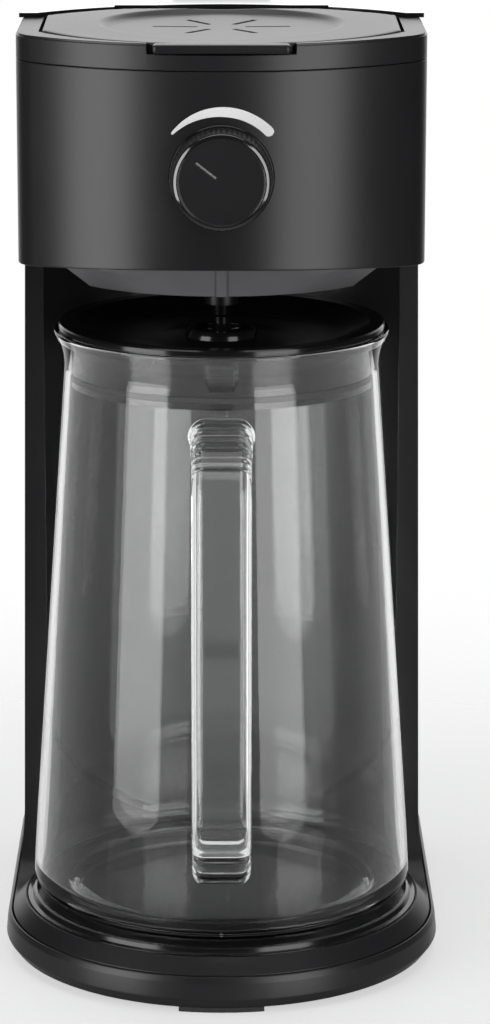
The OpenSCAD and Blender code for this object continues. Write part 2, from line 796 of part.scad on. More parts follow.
// Channel on the inside of the head's front wall that the gate slides in.
module rack_guide() {
    floor_z = knob_z - pinion_r - 1.15 * tooth_module - rack_bar_h - gap;
    guide_top = knob_z - bush_flange_r - gap;
    guide_end = rack_rest_x + rack_l / 2 - gate_w - rack_travel - gap;
    guide_l = 24;
    color(white) at_origin() difference() {
        intersection() {
            translate([guide_end - guide_l, -head_front, floor_z - 3])
                cube([guide_l, head_front - pinion_y + 6, guide_top - floor_z + 3]);
            translate([0, 0, head_z]) linear_extrude(shell_h) head_plan(wall + 0.05);
        }
        translate([-guide_l, -pinion_y - pinion_w / 2 - gap, floor_z])
            cube([2 * guide_l, pinion_w + 2 * gap, 6]);
    }
}

// Outline of the brew basket: two broad arcs between straight sides.
module basket_plan(inset = 0) {
    cy = basket_arc_r - basket_reach;
    intersection() {
        translate([0, cy]) circle(basket_arc_r - inset);
        translate([0, -cy]) circle(basket_arc_r - inset);
        square(2 * (basket_hw - inset), center = true);
    }
}

// Shelf inside the head that the basket's flange rests on, with four posts to the floor.
module basket_carrier() {
    color(black) at_origin() {
        translate([0, 0, carrier_z]) linear_extrude(carrier_t) difference() {
            head_plan(wall + gap);
            basket_plan(-1.2);
            translate([-base_r, hinge_y + 3]) square([2 * base_r, base_back]);
        }
        for (x = [-1, 1]) for (y = [-16, 30]) translate([x * (basket_hw + 6), y, head_z + wall])
            cylinder(r = 3, h = carrier_z - head_z - wall);
    }
}

// Cage round a valve plug, with four windows and a cap that the spring pushes on.
module valve_cage(inner_r, height, cap, hole_r) {
    difference() {
        cylinder(r = inner_r + 1.3, h = height);
        translate([0, 0, -1]) cylinder(r = inner_r, h = height - cap + 1);
        cylinder(r = hole_r, h = 2 * height);
        for (a = [0, 90]) rotate([0, 0, a]) translate([-inner_r - 3, -2.5, 1.5])
            cube([2 * inner_r + 6, 5, height - cap - 3]);
    }
}

// Inside or outside form of the basket: an upright wall above a tapered foot.
module basket_form(inset) {
    translate([0, 0, head_z + 1]) linear_extrude(basket_rise - (inset > 0 ? 0 : 1)) basket_plan(inset);
    hull() {
        translate([0, 0, head_z + 1]) linear_extrude(eps) basket_plan(inset, $fn = 64);
        translate([0, 0, head_z - basket_drop + (inset > 0 ? 2.2 : 0)]) linear_extrude(eps)
            basket_plan(inset + basket_taper, $fn = 64);
    }
}

// Brew basket with a flange, a rib down the front and the back, and the drip valve's cage and nozzle.
module brew_basket() {
    color(black) at_origin() difference() {
        union() {
            difference() {
                union() {
                    basket_form(0);
                    intersection() {
                        basket_form(-rib_t);
                        translate([-rib_w / 2, -basket_reach - 9, 0])
                            cube([rib_w, 2 * basket_reach + 18, basket_top]);
                    }
                    translate([0, 0, basket_top - basket_flange_t]) linear_extrude(basket_flange_t)
                        basket_plan(-3.4);
                    translate([0, 0, head_z - basket_drop - nozzle_h])
                        cylinder(r = nozzle_r + 2.6, h = nozzle_h + 1);
                }
                basket_form(basket_t);
            }
            translate([0, 0, basket_floor - eps]) valve_cage(cage_r, cage_h, 1.5, 2.1);
        }
        translate([0, 0, head_z - basket_drop - nozzle_h - 1]) cylinder(r = nozzle_r, h = nozzle_h + 6);
    }
}

// Removable filter inside the basket, a cup with windows.
module mesh_filter() {
    color("#8a8f96") at_origin() difference() {
        union() {
            translate([0, 0, filter_z]) linear_extrude(basket_top - filter_z + gap + 1)
                basket_plan(basket_t + 1);
            translate([0, 0, basket_top + gap]) linear_extrude(1) basket_plan(-1);
        }
        translate([0, 0, filter_z + filter_floor_t]) linear_extrude(basket_rise + 10)
            basket_plan(basket_t + 2.2);
        translate([0, 0, filter_z + filter_floor_t]) linear_extrude(filter_window_h) {
            for (y = [-26, 0, 26]) translate([0, y]) square([2 * basket_hw + 9, 19], center = true);
            for (x = [-39, -13, 13, 39]) translate([x, 0]) square([19, 2 * basket_reach + 9], center = true);
        }
        for (x = [-33 : 11 : 33]) translate([x, 0, filter_z]) cube([6, 60, 9], center = true);
    }
}

// Plug with a stem above and below it, standing on its lower end.
module poppet(plug_r, plug_t, low_r, low_h, high_r, high_h) {
    rotate_extrude() polygon([[0, 0], [low_r - 0.8, 0], [low_r, 0.8], [low_r, low_h], [plug_r - 1.2, low_h],
        [plug_r, low_h + 1.2], [plug_r, low_h + plug_t], [high_r, low_h + plug_t],
        [high_r, low_h + plug_t + high_h], [0, low_h + plug_t + high_h]]);
}

// Drip valve, lifted off its seat by the pitcher lid.
module drip_valve() {
    color(black) at_origin() translate([0, 0, valve_tip])
        poppet(cage_r - 1.2, valve_plug_t, nozzle_r - gap, valve_seat - valve_tip, 1.7,
            filter_z - 0.4 - valve_seat - valve_plug_t);
}

// Round tube swept along a list of points; ref is a direction the route never runs along.
function unit(v) = v / norm(v);
module tube(points, r, sides, ref) {
    n = len(points);
    tangent = [for (i = [0 : n - 1]) unit(points[min(i + 1, n - 1)] - points[max(i - 1, 0)])];
    rings = [for (i = [0 : n - 1]) let (u = unit(cross(ref, tangent[i])), v = cross(tangent[i], u))
        for (j = [0 : sides - 1]) points[i] + r * (cos(360 * j / sides) * u + sin(360 * j / sides) * v)];
    walls = [for (i = [0 : n - 2]) for (j = [0 : sides - 1]) let (k = (j + 1) % sides)
        [i * sides + k, i * sides + j, (i + 1) * sides + j, (i + 1) * sides + k]];
    ends = [[for (j = [0 : sides - 1]) j], [for (j = [sides - 1 : -1 : 0]) (n - 1) * sides + j]];
    polyhedron(rings, concat(walls, ends));
}

// Compression spring of a given mean radius, height and number of turns.
module coil(radius, height, turns, wire) {
    steps = turns * 12;
    tube([for (i = [0 : steps]) [radius * cos(i * 30), radius * sin(i * 30),
        wire + (height - 2 * wire) * i / steps]], wire, 6, [0, 0, 1]);
}

// Spring that closes the drip valve.
module drip_spring() {
    color(metal) at_origin() translate([0, 0, drip_spring_z])
        coil(4.6, basket_floor + cage_h - 1.5 - drip_spring_z - 0.1, 4, spring_wire);
}

// Outer profile of the pitcher: foot, rounded corner, tapered wall and flared rim.
function jar_outer(grow = 0) = concat([[0, 1 - grow], [jar_r - 16, 1 - grow], [jar_r - 14.5, -grow]],
    arc(jar_r - jar_corner_r, jar_corner_r, jar_corner_r + grow, -90, 0, 8),
    [for (i = [0 : 5]) let (k = i / 5) [jar_neck_r + grow + (jar_rim_r - 0.4 - jar_neck_r) * k * k,
        jar_h - flare_h + (flare_h - 2) * k]]);
function jar_inner() = concat([[jar_rim_r - glass_t, jar_h - 0.6]],
    [for (i = [5 : -1 : 0]) let (k = i / 5) [jar_neck_r - glass_t + (jar_rim_r - 0.4 - jar_neck_r) * k * k,
        jar_h - flare_h + (flare_h - 2) * k - 1]],
    arc(jar_r - glass_t - 8, glass_t + 2 + 8, 8, 0, -90, 6), [[0, glass_t + 1]]);
module pitcher_glass() {
    rim = [[jar_rim_r, jar_h - 1.6], [jar_rim_r - 0.2, jar_h - 0.6], [jar_rim_r - 0.9, jar_h],
        [jar_rim_r - glass_t + 0.4, jar_h]];
    color(clear) at_origin() translate([0, 0, jar_z])
        rotate_extrude() polygon(concat(jar_outer(), rim, jar_inner()));
}

// Cross section of the handle, an upright bar's outline with two round edges.
module handle_section(grow = 0) {
    r = handle_t / 2 + grow;
    side = arc(handle_w / 2 + grow - r, 0, r, -90, 90, 12);
    polygon(concat(side, mirrored(side)));
}

// One arm of the handle with its bend, running from inside the wall out to the grip.
module handle_arm(wall_r) {
    inside = 12;
    bend_y = handle_bend + handle_t / 2 - handle_reach;
    translate([0, inside - wall_r, 0]) rotate([90, 0, 0]) {
        linear_extrude(inside - wall_r - bend_y) handle_section();
        linear_extrude(inside + root_l) handle_section(root_grow);
    }
    translate([0, bend_y, handle_bend]) rotate([-90, 0, -90])
        rotate_extrude(angle = 90) translate([handle_bend, 0]) rotate([0, 0, 90]) handle_section();
}

// Handle of the pitcher: a rounded bar with two bends and a thicker root at each end.
module pitcher_handle() {
    taper = (jar_r - jar_neck_r) / (jar_h - flare_h - jar_corner_r);
    color(clear) at_origin() translate([0, 0, jar_z]) difference() {
        union() {
            translate([0, 0, handle_low]) handle_arm(jar_r - taper * (handle_low - jar_corner_r));
            translate([0, 0, handle_top]) rotate([0, 180, 0])
                handle_arm(jar_r - taper * (handle_top - jar_corner_r));
            translate([0, handle_t / 2 - handle_reach, handle_low + handle_bend])
                linear_extrude(handle_top - handle_low - 2 * handle_bend) handle_section();
        }
        rotate_extrude() polygon(concat([[0, -1]], jar_outer(0.05), [[0, jar_h]]));
    }
}

// Dished disc of the pitcher lid, with a middle ring, a flange and a skirt with pouring slots.
module lid_disc() {
    top = lid_flange_t;
    ring_top = dish_floor + lid_ring_h;
    ring_low = dish_floor - 2.4;
    difference() {
        rotate_extrude() polygon([[5, ring_low - 2], [5, ring_low], [lid_ring_r - 3.2, ring_low],
            [lid_ring_r - 3.2, ring_top - 0.8], [lid_ring_r - 2.4, ring_top], [lid_ring_r - 1.6, ring_top],
            [lid_ring_r - 1, ring_top - 0.6], [lid_ring_r, dish_floor], [30, dish_floor - 0.6],
            [skirt_r - 12, dish_floor + 0.5], [skirt_r - 3.4, top - 1.8], [skirt_r - 0.8, top],
            [flange_r - 0.6, top], [flange_r, top - 0.6], [flange_r, 0], [skirt_r, 0],
            [skirt_r, -lid_skirt_h], [skirt_r - skirt_t, -lid_skirt_h], [skirt_r - skirt_t, -1.6],
            [skirt_r - 4.4, -1.6], [skirt_r - 12.5, dish_floor - 1.7], [30, dish_floor - 2.6],
            [lid_ring_r - 0.6, dish_floor - 2], [lid_ring_r - 1.4, ring_low - 2]]);
        translate([0, 0, -gasket_z - 2.5]) difference() {
            cylinder(r = skirt_r + 1, h = 2.5);
            translate([0, 0, -1]) cylinder(r = skirt_r - gasket_depth, h = 5);
        }
        for (i = [-3 : 3]) rotate([0, 0, 90 + i * 9]) translate([skirt_r - 4, -2, -13]) cube([8, 4, 10]);
    }
}

// Pitcher lid, with a nub on a cross in its middle ring that lifts the drip valve.
module pitcher_lid() {
    color(gloss) at_origin() translate([0, 0, lid_seat_z]) {
        cross_z = dish_floor - 1;
        translate([0, 0, cross_z]) {
            cylinder(r = lid_nub_r, h = lid_nub_h - cross_z);
            for (a = [45, 135]) rotate([0, 0, a]) translate([3 - lid_ring_r, -1, 0])
                cube([2 * lid_ring_r - 6, 2, 2.6]);
        }
        lid_disc();
    }
}

// Silicone ring in the groove of the lid's skirt.
module lid_gasket() {
    color(rubber) at_origin() translate([0, 0, lid_seat_z - gasket_z - 2.4]) difference() {
        cylinder(r = skirt_r + 0.25, h = 2.3);
        translate([0, 0, -1]) cylinder(r = skirt_r - gasket_depth + 0.02, h = 5);
    }
}

// Outline of the water tank, hollowed in front to fit round the back of the column.
module tank_plan(inset = 0) {
    hw = tank_hw - inset;
    back = tank_back - inset;
    corner = tank_corner_r - inset;
    front_r = column_r + tank_gap + inset;
    cheek = cheek_y + tank_gap + inset;
    arc_x = sqrt(front_r * front_r - cheek * cheek);
    front = arc_x < hw - 0.5 ? cheek : sqrt(front_r * front_r - hw * hw);
    right = concat(arc(0, 0, front_r, 90, atan2(front, min(arc_x, hw)), 12),
        arc_x < hw - 0.5 ? [[hw, front]] : [], arc(hw - corner, back - corner, corner, 0, 90, 8));
    polygon(concat(right, mirrored(right)));
}

// Axis of the tank lid's hinge, running along X.
module tank_hinge() {
    translate([0, tank_pin_y, tank_pin_z]) rotate([0, 90, 0]) children();
}

// Water tank, open on top, with a foot that plugs into the deck and lugs for the lid.
module water_tank() {
    color(smoke) at_origin() difference() {
        union() {
            difference() {
                translate([0, 0, tank_z]) linear_extrude(tank_top - tank_z) tank_plan();
                translate([0, 0, tank_floor]) linear_extrude(tank_top) tank_plan(tank_t);
                translate([-tank_knuckle_l / 2 - gap, tank_back - 8, tank_pin_z - 2 - gap])
                    cube([tank_knuckle_l + 2 * gap, 9, 9]);
            }
            translate([0, socket_y, tank_z - stub_h]) cylinder(r = stub_r, h = stub_h + 1);
            translate([0, socket_y, tank_floor - eps]) valve_cage(tank_cage_r, tank_cage_h, 1.5, 2.1);
            for (x = [-1, 1]) translate([x * (tank_knuckle_l + 2 * gap + lug_w) / 2, tank_pin_y, 0]) {
                translate([0, 0, tank_pin_z]) rotate([0, 90, 0]) cylinder(r = 2, h = lug_w, center = true);
                translate([-lug_w / 2, -2, tank_top - 8]) cube([lug_w, 4, tank_pin_z - tank_top + 8]);
            }
        }
        translate([0, socket_y, tank_z - stub_h - 1]) cylinder(r = tank_bore_r, h = stub_h + 8);
        tank_hinge() cylinder(r = 1.02, h = tank_knuckle_l + 2 * lug_w + 4, center = true);
    }
}

// Lid of the tank with a shallow rim, a hinge knuckle and a raised ridge to lift it by.
module tank_lid() {
    plate_back = tank_pin_y - 2.4;
    plate_front = cheek_y + tank_lid_gap;
    ridge_w = 45;
    ridge_h = 3;
    color(black) at_origin() difference() {
        union() {
            translate([0, 0, tank_rim_z]) linear_extrude(tank_lid_t) difference() {
                intersection() {
                    tank_plan();
                    translate([-base_r, plate_front]) square([2 * base_r, plate_back - plate_front]);
                }
                circle(r = column_r + tank_lid_gap);
            }
            difference() {
                translate([0, 0, tank_rim_z - 3]) linear_extrude(4) tank_plan(tank_t + 0.7);
                translate([0, 0, tank_rim_z - 4]) linear_extrude(6) tank_plan(tank_t + 2);
                translate([-base_r, tank_back - 10, tank_rim_z - 4]) cube([2 * base_r, 20, 6]);
            }
            tank_hinge() cylinder(r = 2, h = tank_knuckle_l, center = true);
            translate([-tank_knuckle_l / 2, plate_back - 1, tank_rim_z]) cube([tank_knuckle_l, 3.4, 2.2]);
            translate([0, column_r + tank_gap + 9, tank_rim_z + 1]) linear_extrude(tank_lid_t - 1 + ridge_h)
                square([ridge_w, 5], center = true);
        }
        tank_hinge() cylinder(r = 1 + pin_gap, h = tank_knuckle_l + 2, center = true);
    }
}

// Hinge pin of the tank lid.
module tank_lid_pin() {
    color(metal) at_origin() tank_hinge()
        cylinder(r = 1, h = tank_knuckle_l + 2 * lug_w + 2 * gap, center = true);
}

// Foot valve of the tank, held open by the pin in the deck's socket.
module tank_valve() {
    color(white) at_origin() translate([0, socket_y, tank_valve_z])
        poppet(tank_cage_r - 1, 2.4, tank_bore_r - 0.9, tank_valve_seat - tank_valve_z, 1.7,
            tank_floor + tank_cage_h + 2.5 - tank_valve_seat - 2.4);
}

// Spring that closes the tank's foot valve.
module tank_valve_spring() {
    color(metal) at_origin() translate([0, socket_y, tank_spring_z])
        coil(4.3, tank_floor + tank_cage_h - 1.6 - tank_spring_z, 4, spring_wire);
}

// Spout that brings hot water over the basket, hung under the top ring.
module water_spout() {
    tip_end = hinge_y - 7.4;
    color(white) at_origin() difference() {
        union() {
            translate([0, tip_end, spout_z]) rotate([-90, 0, 0]) cylinder(r = spout_r, h = hose_y - tip_end);
            translate([0, hose_y, barb_z]) cylinder(r = spout_r, h = spout_z - barb_z);
            translate([0, hose_y, spout_z]) cube([8, 8, 6.2], center = true);
            translate([-5, hinge_y + 10, spout_z]) cube([10, 9, top_z - 6.2 - spout_z]);
        }
        translate([0, tip_end - 1, spout_z]) rotate([-90, 0, 0])
            cylinder(r = spout_bore_r, h = hose_y - tip_end + 1);
        translate([0, hose_y, barb_z - 1]) cylinder(r = spout_bore_r, h = spout_z - barb_z + 1);
    }
}

// Smooth route through a few points, with n steps from each point to the next.
function blend_point(a, b, c, d, t) = 0.5 * ((2 * b) + (c - a) * t + (2 * a - 5 * b + 4 * c - d) * t * t
    + (3 * b - a - 3 * c + d) * t * t * t);
function route(p, n) = concat([for (i = [0 : len(p) - 2]) for (k = [0 : n - 1])
    blend_point(p[max(i - 1, 0)], p[i], p[i + 1], p[min(i + 2, len(p) - 1)], k / n)], [p[len(p) - 1]]);

// Points between a and b, each at a share of the way and raised by a rise.
function bowed(a, b, shares) = [for (k = shares) a + (b - a) * k[0] + [0, 0, k[1]]];

// Hose from the heater up through the column to the spout.
module riser_hose() {
    low = [heater_x, heater_y, heater_port_z + gap];
    start = low + [0, 0, 2.5 * hose_grip];
    high = [0, hose_y, deck_z - hose_grip];
    top = [0, hose_y, barb_z - gap];
    color("#d8d4cb") at_origin() tube(route(concat([low, low + [0, 0, hose_grip], start],
        bowed(start, high, [[0.34, 0], [0.8, -4]]),
        [high, high + [0, 0, 16], top - [0, 0, 60], top - [0, 0, 2 * hose_grip], top]), 5),
        hose_r, 10, [0, 1, 0.3]);
}

// Hose from the tank's socket to the check valve.
module inlet_hose() {
    top = [0, socket_y, socket_low - 6 - gap];
    start = top - [0, 0, 2 * hose_grip];
    low = [-heater_x, heater_y, check_top + gap];
    end = low + [0, 0, 2 * hose_grip];
    color("#d8d4cb") at_origin() tube(route(concat([top, top - [0, 0, hose_grip], start],
        bowed(start, end, [[0.15, -7], [0.37, -6], [0.6, 4], [0.8, 10], [0.96, 7]]),
        [end, low + [0, 0, hose_grip], low]), 5), hose_r, 10, [0, 1, 0]);
}

// Spring clips on the ends of the hoses.
module hose_clips() {
    clip_h = 3;
    spots = [[0, socket_y, socket_low - 6 - gap - hose_grip], [-heater_x, heater_y, check_top + gap + 0.5],
        [heater_x, heater_y, heater_port_z + gap + 0.5], [0, hose_y, barb_z - gap - hose_grip]];
    color(metal) at_origin() for (p = spots) translate(p) difference() {
        cylinder(r = hose_r + 1.3, h = clip_h);
        translate([0, 0, -1]) cylinder(r = hose_r + 0.35, h = clip_h + 2);
        translate([-0.8, -hose_r - 2, -1]) cube([1.6, 4, clip_h + 2]);
    }
}

// One-way valve between the tank hose and the heater.
module check_valve() {
    color(white) at_origin() translate([-heater_x, heater_y, check_z]) rotate_extrude()
        polygon([[0, 0], [4, 0], [4, 5], [7, 7], [7, check_h - 7], [4, check_h - 5],
            [4, check_h], [0, check_h]]);
}

// Cast flow heater with an end block and a port at each side.
module heater_block() {
    color(metal) at_origin() {
        along_x(2 * heater_x - 20) translate([heater_y, heater_z]) {
            circle(9);
            translate([-13, -4]) square([26, 8]);
            translate([-6, 4]) square([12, 8]);
        }
        for (x = [-1, 1]) {
            translate([x * (heater_x - 8), heater_y, heater_z]) cube([5, 12, 12], center = true);
            translate([x * heater_x, heater_y, heater_z]) cube([12, 12, 12], center = true);
            translate([x * heater_x, heater_y, heater_z]) cylinder(r = 4, h = heater_port_z - heater_z);
        }
    }
}

// Two sheet metal feet that carry the heater above the base plate.
module heater_bracket() {
    floor_z = foot_h + plate_t;
    under = heater_z - 9;
    color(metal) at_origin() for (x = [-1, 1]) translate([x * (heater_x - 24), heater_y - 10, 0]) {
        translate([-1, 0, floor_z]) cube([2, 20, under - floor_z]);
        translate([-9, 0, floor_z]) cube([18, 20, 1.6]);
        translate([-6, 3, under - 1.6]) cube([12, 14, 1.6]);
    }
}

// Disc thermostat on top of the heater.
module thermostat() {
    color(white) at_origin() translate([-16, heater_y, heater_z + 12]) {
        cylinder(r = 9, h = 4.5);
        cylinder(r = 6.5, h = 8);
        for (x = [-1, 1]) translate([x * 4 - 0.4, -2.4, 7]) cube([0.8, 4.8, 8]);
    }
}

// Thermal fuse held to the heater by a strap.
module thermal_fuse() {
    color(metal) at_origin() translate([18, heater_y, heater_z + 14.2]) {
        rotate([0, 90, 0]) cylinder(r = 2.2, h = 20, center = true);
        rotate([0, 90, 0]) cylinder(r = 0.6, h = 34, center = true);
        translate([-3, -6, -2.2]) cube([6, 12, 0.8]);
        translate([-3, -3, -2.2]) cube([6, 6, 5]);
    }
}

// Terminal block on the base plate, with three screw wells.
module terminal_block() {
    color(white) at_origin() translate([18.5 - base_r, heater_y - 18, foot_h + plate_t]) difference() {
        cube([term_l, 15, 14]);
        for (i = [0.5 : 2.5]) translate([i * term_l / 3, 7.5, 5]) cylinder(r = 2.4, h = 12);
        for (i = [0.5 : 2.5]) translate([i * term_l / 3, -1, 5]) rotate([-90, 0, 0]) cylinder(r = 1.6, h = 20);
    }
}

// Axis of the cord's way through the back cover, running along +Y.
module gland_axis() {
    translate([gland_x, base_back - rim_in, gland_z]) rotate([-90, 0, 0]) children();
}

// Cord gland in the back cover, a flanged sleeve with a straight bore.
module cord_gland() {
    flange_t = rim_in - gap;
    color(rubber) at_origin() gland_axis() difference() {
        union() {
            translate([0, 0, gap / 3]) cylinder(r = gland_r + 3, h = flange_t);
            translate([0, 0, gap / 3 + flange_t - gland_l]) cylinder(r = gland_r, h = gland_l);
        }
        translate([0, 0, -gland_l]) cylinder(r = gland_bore_r, h = 3 * gland_l);
    }
}

// Block that the switch takes up in the back cover, grown for its hole.
module switch_pocket(grow) {
    translate([rocker_x, base_back - rim_in, rocker_z])
        cube([switch_w + 2 * grow, 34, switch_h + 2 * grow], center = true);
}

// Frame and case of the power switch.
module switch_housing() {
    color(gloss) at_origin() difference() {
        union() {
            intersection() {
                switch_pocket(0);
                translate([0, base_back - rim_in - 15, 0]) cube([base_r, 16, deck_z]);
            }
            translate([rocker_x, base_back - rim_in + 0.85, rocker_z])
                cube([switch_w + 3.4, 1.5, switch_h + 4], center = true);
        }
        translate([rocker_x, base_back - rim_in - 1, rocker_z])
            cube([switch_w - 2, 22, switch_h - 2], center = true);
        translate([rocker_x, rocker_y, rocker_z]) rotate([0, 90, 0])
            cylinder(r = pivot_r + pin_gap, h = switch_w - 0.6, center = true);
    }
}

// Rocker of the power switch on a cross pivot.
module power_rocker() {
    half = switch_h / 2 - 1.5;
    color(gloss) at_origin() translate([rocker_x, rocker_y, rocker_z]) {
        rotate([-rocker_tilt, 0, 0]) along_x(switch_w - 2.8)
            polygon([[-3, -half * 0.55], [2.6, -half], [4.4, -half], [3.5, 0], [4.4, half], [2.6, half],
                [-3, half * 0.55]]);
        rotate([0, 90, 0]) cylinder(r = pivot_r, h = switch_w - 1, center = true);
    }
}

// Screws that join the head to the bosses in the column.
module head_screws() {
    color(metal) at_origin() for (p = head_screw_spots) translate([p[0], p[1], head_z]) {
        translate([0, 0, wall]) cylinder(r = screw_head_r, h = 1.8);
        translate([0, 0, -10]) cylinder(r = screw_r, h = 10 + wall + 1);
    }
}

base_band();
base_plate();
foot_pads();
base_screws();
main_body();
seat_plate();
column_back();
rear_cover();
tank_deck();
socket_seal();
housing_shell();
top_ring();
rear_deck();
brew_lid();
lid_hinge_pin();
shower_plate();
strength_knob();
knob_shaft();
knob_bezel();
shaft_bushing();
gate_rack();
rack_guide();
basket_carrier();
brew_basket();
mesh_filter();
drip_valve();
drip_spring();
pitcher_glass();
pitcher_handle();
pitcher_lid();
lid_gasket();
water_tank();
tank_lid();
tank_lid_pin();
tank_valve();
tank_valve_spring();
water_spout();
riser_hose();
inlet_hose();
hose_clips();
check_valve();
heater_block();
heater_bracket();
thermostat();
thermal_fuse();
terminal_block();
power_rocker();
switch_housing();
cord_gland();
head_screws();
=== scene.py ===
"""Iced tea maker: smooth surfaces, finishes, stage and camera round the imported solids."""

import sys
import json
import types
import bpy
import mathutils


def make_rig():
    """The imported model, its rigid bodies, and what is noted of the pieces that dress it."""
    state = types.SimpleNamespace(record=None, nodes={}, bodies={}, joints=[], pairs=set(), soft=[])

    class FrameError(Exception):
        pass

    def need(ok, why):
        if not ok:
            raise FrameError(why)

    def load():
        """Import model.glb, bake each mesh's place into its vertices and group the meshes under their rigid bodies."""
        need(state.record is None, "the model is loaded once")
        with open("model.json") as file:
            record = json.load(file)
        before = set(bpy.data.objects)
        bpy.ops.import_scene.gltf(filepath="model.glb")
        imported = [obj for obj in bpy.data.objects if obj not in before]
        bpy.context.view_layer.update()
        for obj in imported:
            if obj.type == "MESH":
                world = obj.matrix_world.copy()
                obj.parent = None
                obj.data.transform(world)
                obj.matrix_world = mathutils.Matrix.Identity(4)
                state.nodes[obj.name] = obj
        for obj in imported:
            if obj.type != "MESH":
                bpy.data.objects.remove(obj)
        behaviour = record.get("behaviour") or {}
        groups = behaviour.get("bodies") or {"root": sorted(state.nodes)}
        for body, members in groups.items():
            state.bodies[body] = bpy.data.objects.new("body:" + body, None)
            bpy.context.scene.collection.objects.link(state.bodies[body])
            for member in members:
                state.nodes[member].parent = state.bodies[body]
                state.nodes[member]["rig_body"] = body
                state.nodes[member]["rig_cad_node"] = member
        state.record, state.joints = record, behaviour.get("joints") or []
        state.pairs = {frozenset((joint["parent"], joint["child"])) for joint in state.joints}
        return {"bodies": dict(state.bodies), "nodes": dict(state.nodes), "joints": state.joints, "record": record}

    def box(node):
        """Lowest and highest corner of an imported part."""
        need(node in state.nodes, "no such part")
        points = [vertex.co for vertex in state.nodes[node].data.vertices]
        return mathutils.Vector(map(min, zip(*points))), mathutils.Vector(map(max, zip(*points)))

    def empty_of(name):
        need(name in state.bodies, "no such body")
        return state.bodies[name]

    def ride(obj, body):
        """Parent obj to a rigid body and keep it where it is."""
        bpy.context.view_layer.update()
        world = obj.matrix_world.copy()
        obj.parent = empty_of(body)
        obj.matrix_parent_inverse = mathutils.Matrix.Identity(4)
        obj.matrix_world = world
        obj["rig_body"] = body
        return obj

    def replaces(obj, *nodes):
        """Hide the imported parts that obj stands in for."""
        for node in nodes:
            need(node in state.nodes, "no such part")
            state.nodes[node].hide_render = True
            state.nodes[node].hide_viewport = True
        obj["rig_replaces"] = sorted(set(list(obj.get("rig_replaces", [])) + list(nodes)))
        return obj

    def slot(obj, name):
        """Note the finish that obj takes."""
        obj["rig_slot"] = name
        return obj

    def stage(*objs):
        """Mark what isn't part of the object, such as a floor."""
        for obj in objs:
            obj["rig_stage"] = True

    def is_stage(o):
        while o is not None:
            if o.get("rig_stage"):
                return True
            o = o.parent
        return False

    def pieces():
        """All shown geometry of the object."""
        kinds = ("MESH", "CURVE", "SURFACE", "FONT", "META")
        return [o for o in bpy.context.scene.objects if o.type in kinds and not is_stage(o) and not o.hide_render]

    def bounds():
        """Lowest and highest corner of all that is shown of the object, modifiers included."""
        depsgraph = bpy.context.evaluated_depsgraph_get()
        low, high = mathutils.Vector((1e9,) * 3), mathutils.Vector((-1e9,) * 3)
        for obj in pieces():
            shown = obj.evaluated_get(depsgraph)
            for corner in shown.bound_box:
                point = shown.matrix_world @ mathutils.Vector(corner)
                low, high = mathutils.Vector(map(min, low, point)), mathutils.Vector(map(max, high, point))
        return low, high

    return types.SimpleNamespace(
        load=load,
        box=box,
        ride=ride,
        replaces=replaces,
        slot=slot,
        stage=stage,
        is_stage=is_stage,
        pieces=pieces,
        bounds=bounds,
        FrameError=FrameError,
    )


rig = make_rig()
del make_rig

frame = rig.load()

import json
import math

import bpy
import numpy as np
from bpy.props import FloatProperty, FloatVectorProperty, IntProperty, PointerProperty
from mathutils import Vector

bl_info = {
    "name": "Iced tea maker",
    "version": (1, 0, 0),
    "blender": (4, 5, 0),
    "location": "View3D > Sidebar > Tea maker",
    "description": "Builds the visible surfaces, finishes and stage of an iced tea maker",
    "category": "Object",
}

CAD_BOX = [list(corner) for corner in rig.bounds()]
SIZE_FILE = "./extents.json"

# Lengths are millimetres about the pitcher's axis, which lies this far in front of the part's origin.
Y_MID = 18.0


def span(node):
    """Lowest and highest corner of a solid in millimetres, with y counted from the pitcher's axis."""
    low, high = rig.box(node)
    shift = np.array([0.0, Y_MID, 0.0])
    return np.array(low) * 1000 + shift, np.array(high) * 1000 + shift


# Base and seat
BAND_LOW, BAND_TOP = span("base_band")[0][2], span("base_band")[1][2]
BASE_R, BASE_BACK = span("base_band")[1][:2]
BASE_CORNER = 28.0
SEAT_LOW, SEAT_TOP = span("seat_plate")[0][2], span("seat_plate")[1][2]
SEAT_R = span("seat_plate")[1][0]

# Head: the basket's rim stands 55 mm above its lower edge, which is arched by SKIRT in front of TIP_Y
HEAD_Z = span("brew_basket")[1][2] - 55.0
RING_Z, TOP_Z = span("top_ring")[0][2], span("top_ring")[1][2]
HEAD_HW, HEAD_FRONT = span("top_ring")[1][0], -span("top_ring")[0][1]
HEAD_ARC, SHOULDER_R, HEAD_WALL, SKIRT, TIP_Y = 105.0, 22.0, 2.5, 4.0, 37.0
COLUMN_R, CHEEK_Y = 98.0, 62.0

# Arcs about GAP_Y part the brew lid from the deck behind it
GAP_Y, LID_BACK_R, DECK_R = -38.2, 96.5, 98.5
LID_HW, LID_FRONT, LID_SHOULDER, LID_CHORD, LID_T, LID_RISE = 69.8, 66.4, 24.0, 50.4, 3.9, 1.6
DISH_Y, DISH_R, DISH_EDGE = -1.0, 49.0, 4.5
SLOT_HW, SLOT_ENDS, SLOT_DEPTH = 1.15, (10.0, 26.6), 1.8
TAB_HW, TAB_R = 26.2, 1.5
HINGE = next(joint["pos_m"] for joint in frame["joints"] if joint["name"] == "brew_lid_hinge")
HINGE_Y, HINGE_Z = HINGE[1] * 1000 + Y_MID, HINGE[2] * 1000

# Deck behind the lid, with a notch for the lid's hinge and the hinge cover's slope
DECK_OVER, DECK_T, DECK_ENDS_Y, NOTCH_HW, NOTCH_DEEP = 1.3, 1.8, HINGE_Y - 26.4, 43.65, 3.0
COVER_H, COVER_UP, COVER_DOWN, COVER_SIDE = 5.3, (59.0, 86.0), (88.0, 89.5), (19.0, 22.6)

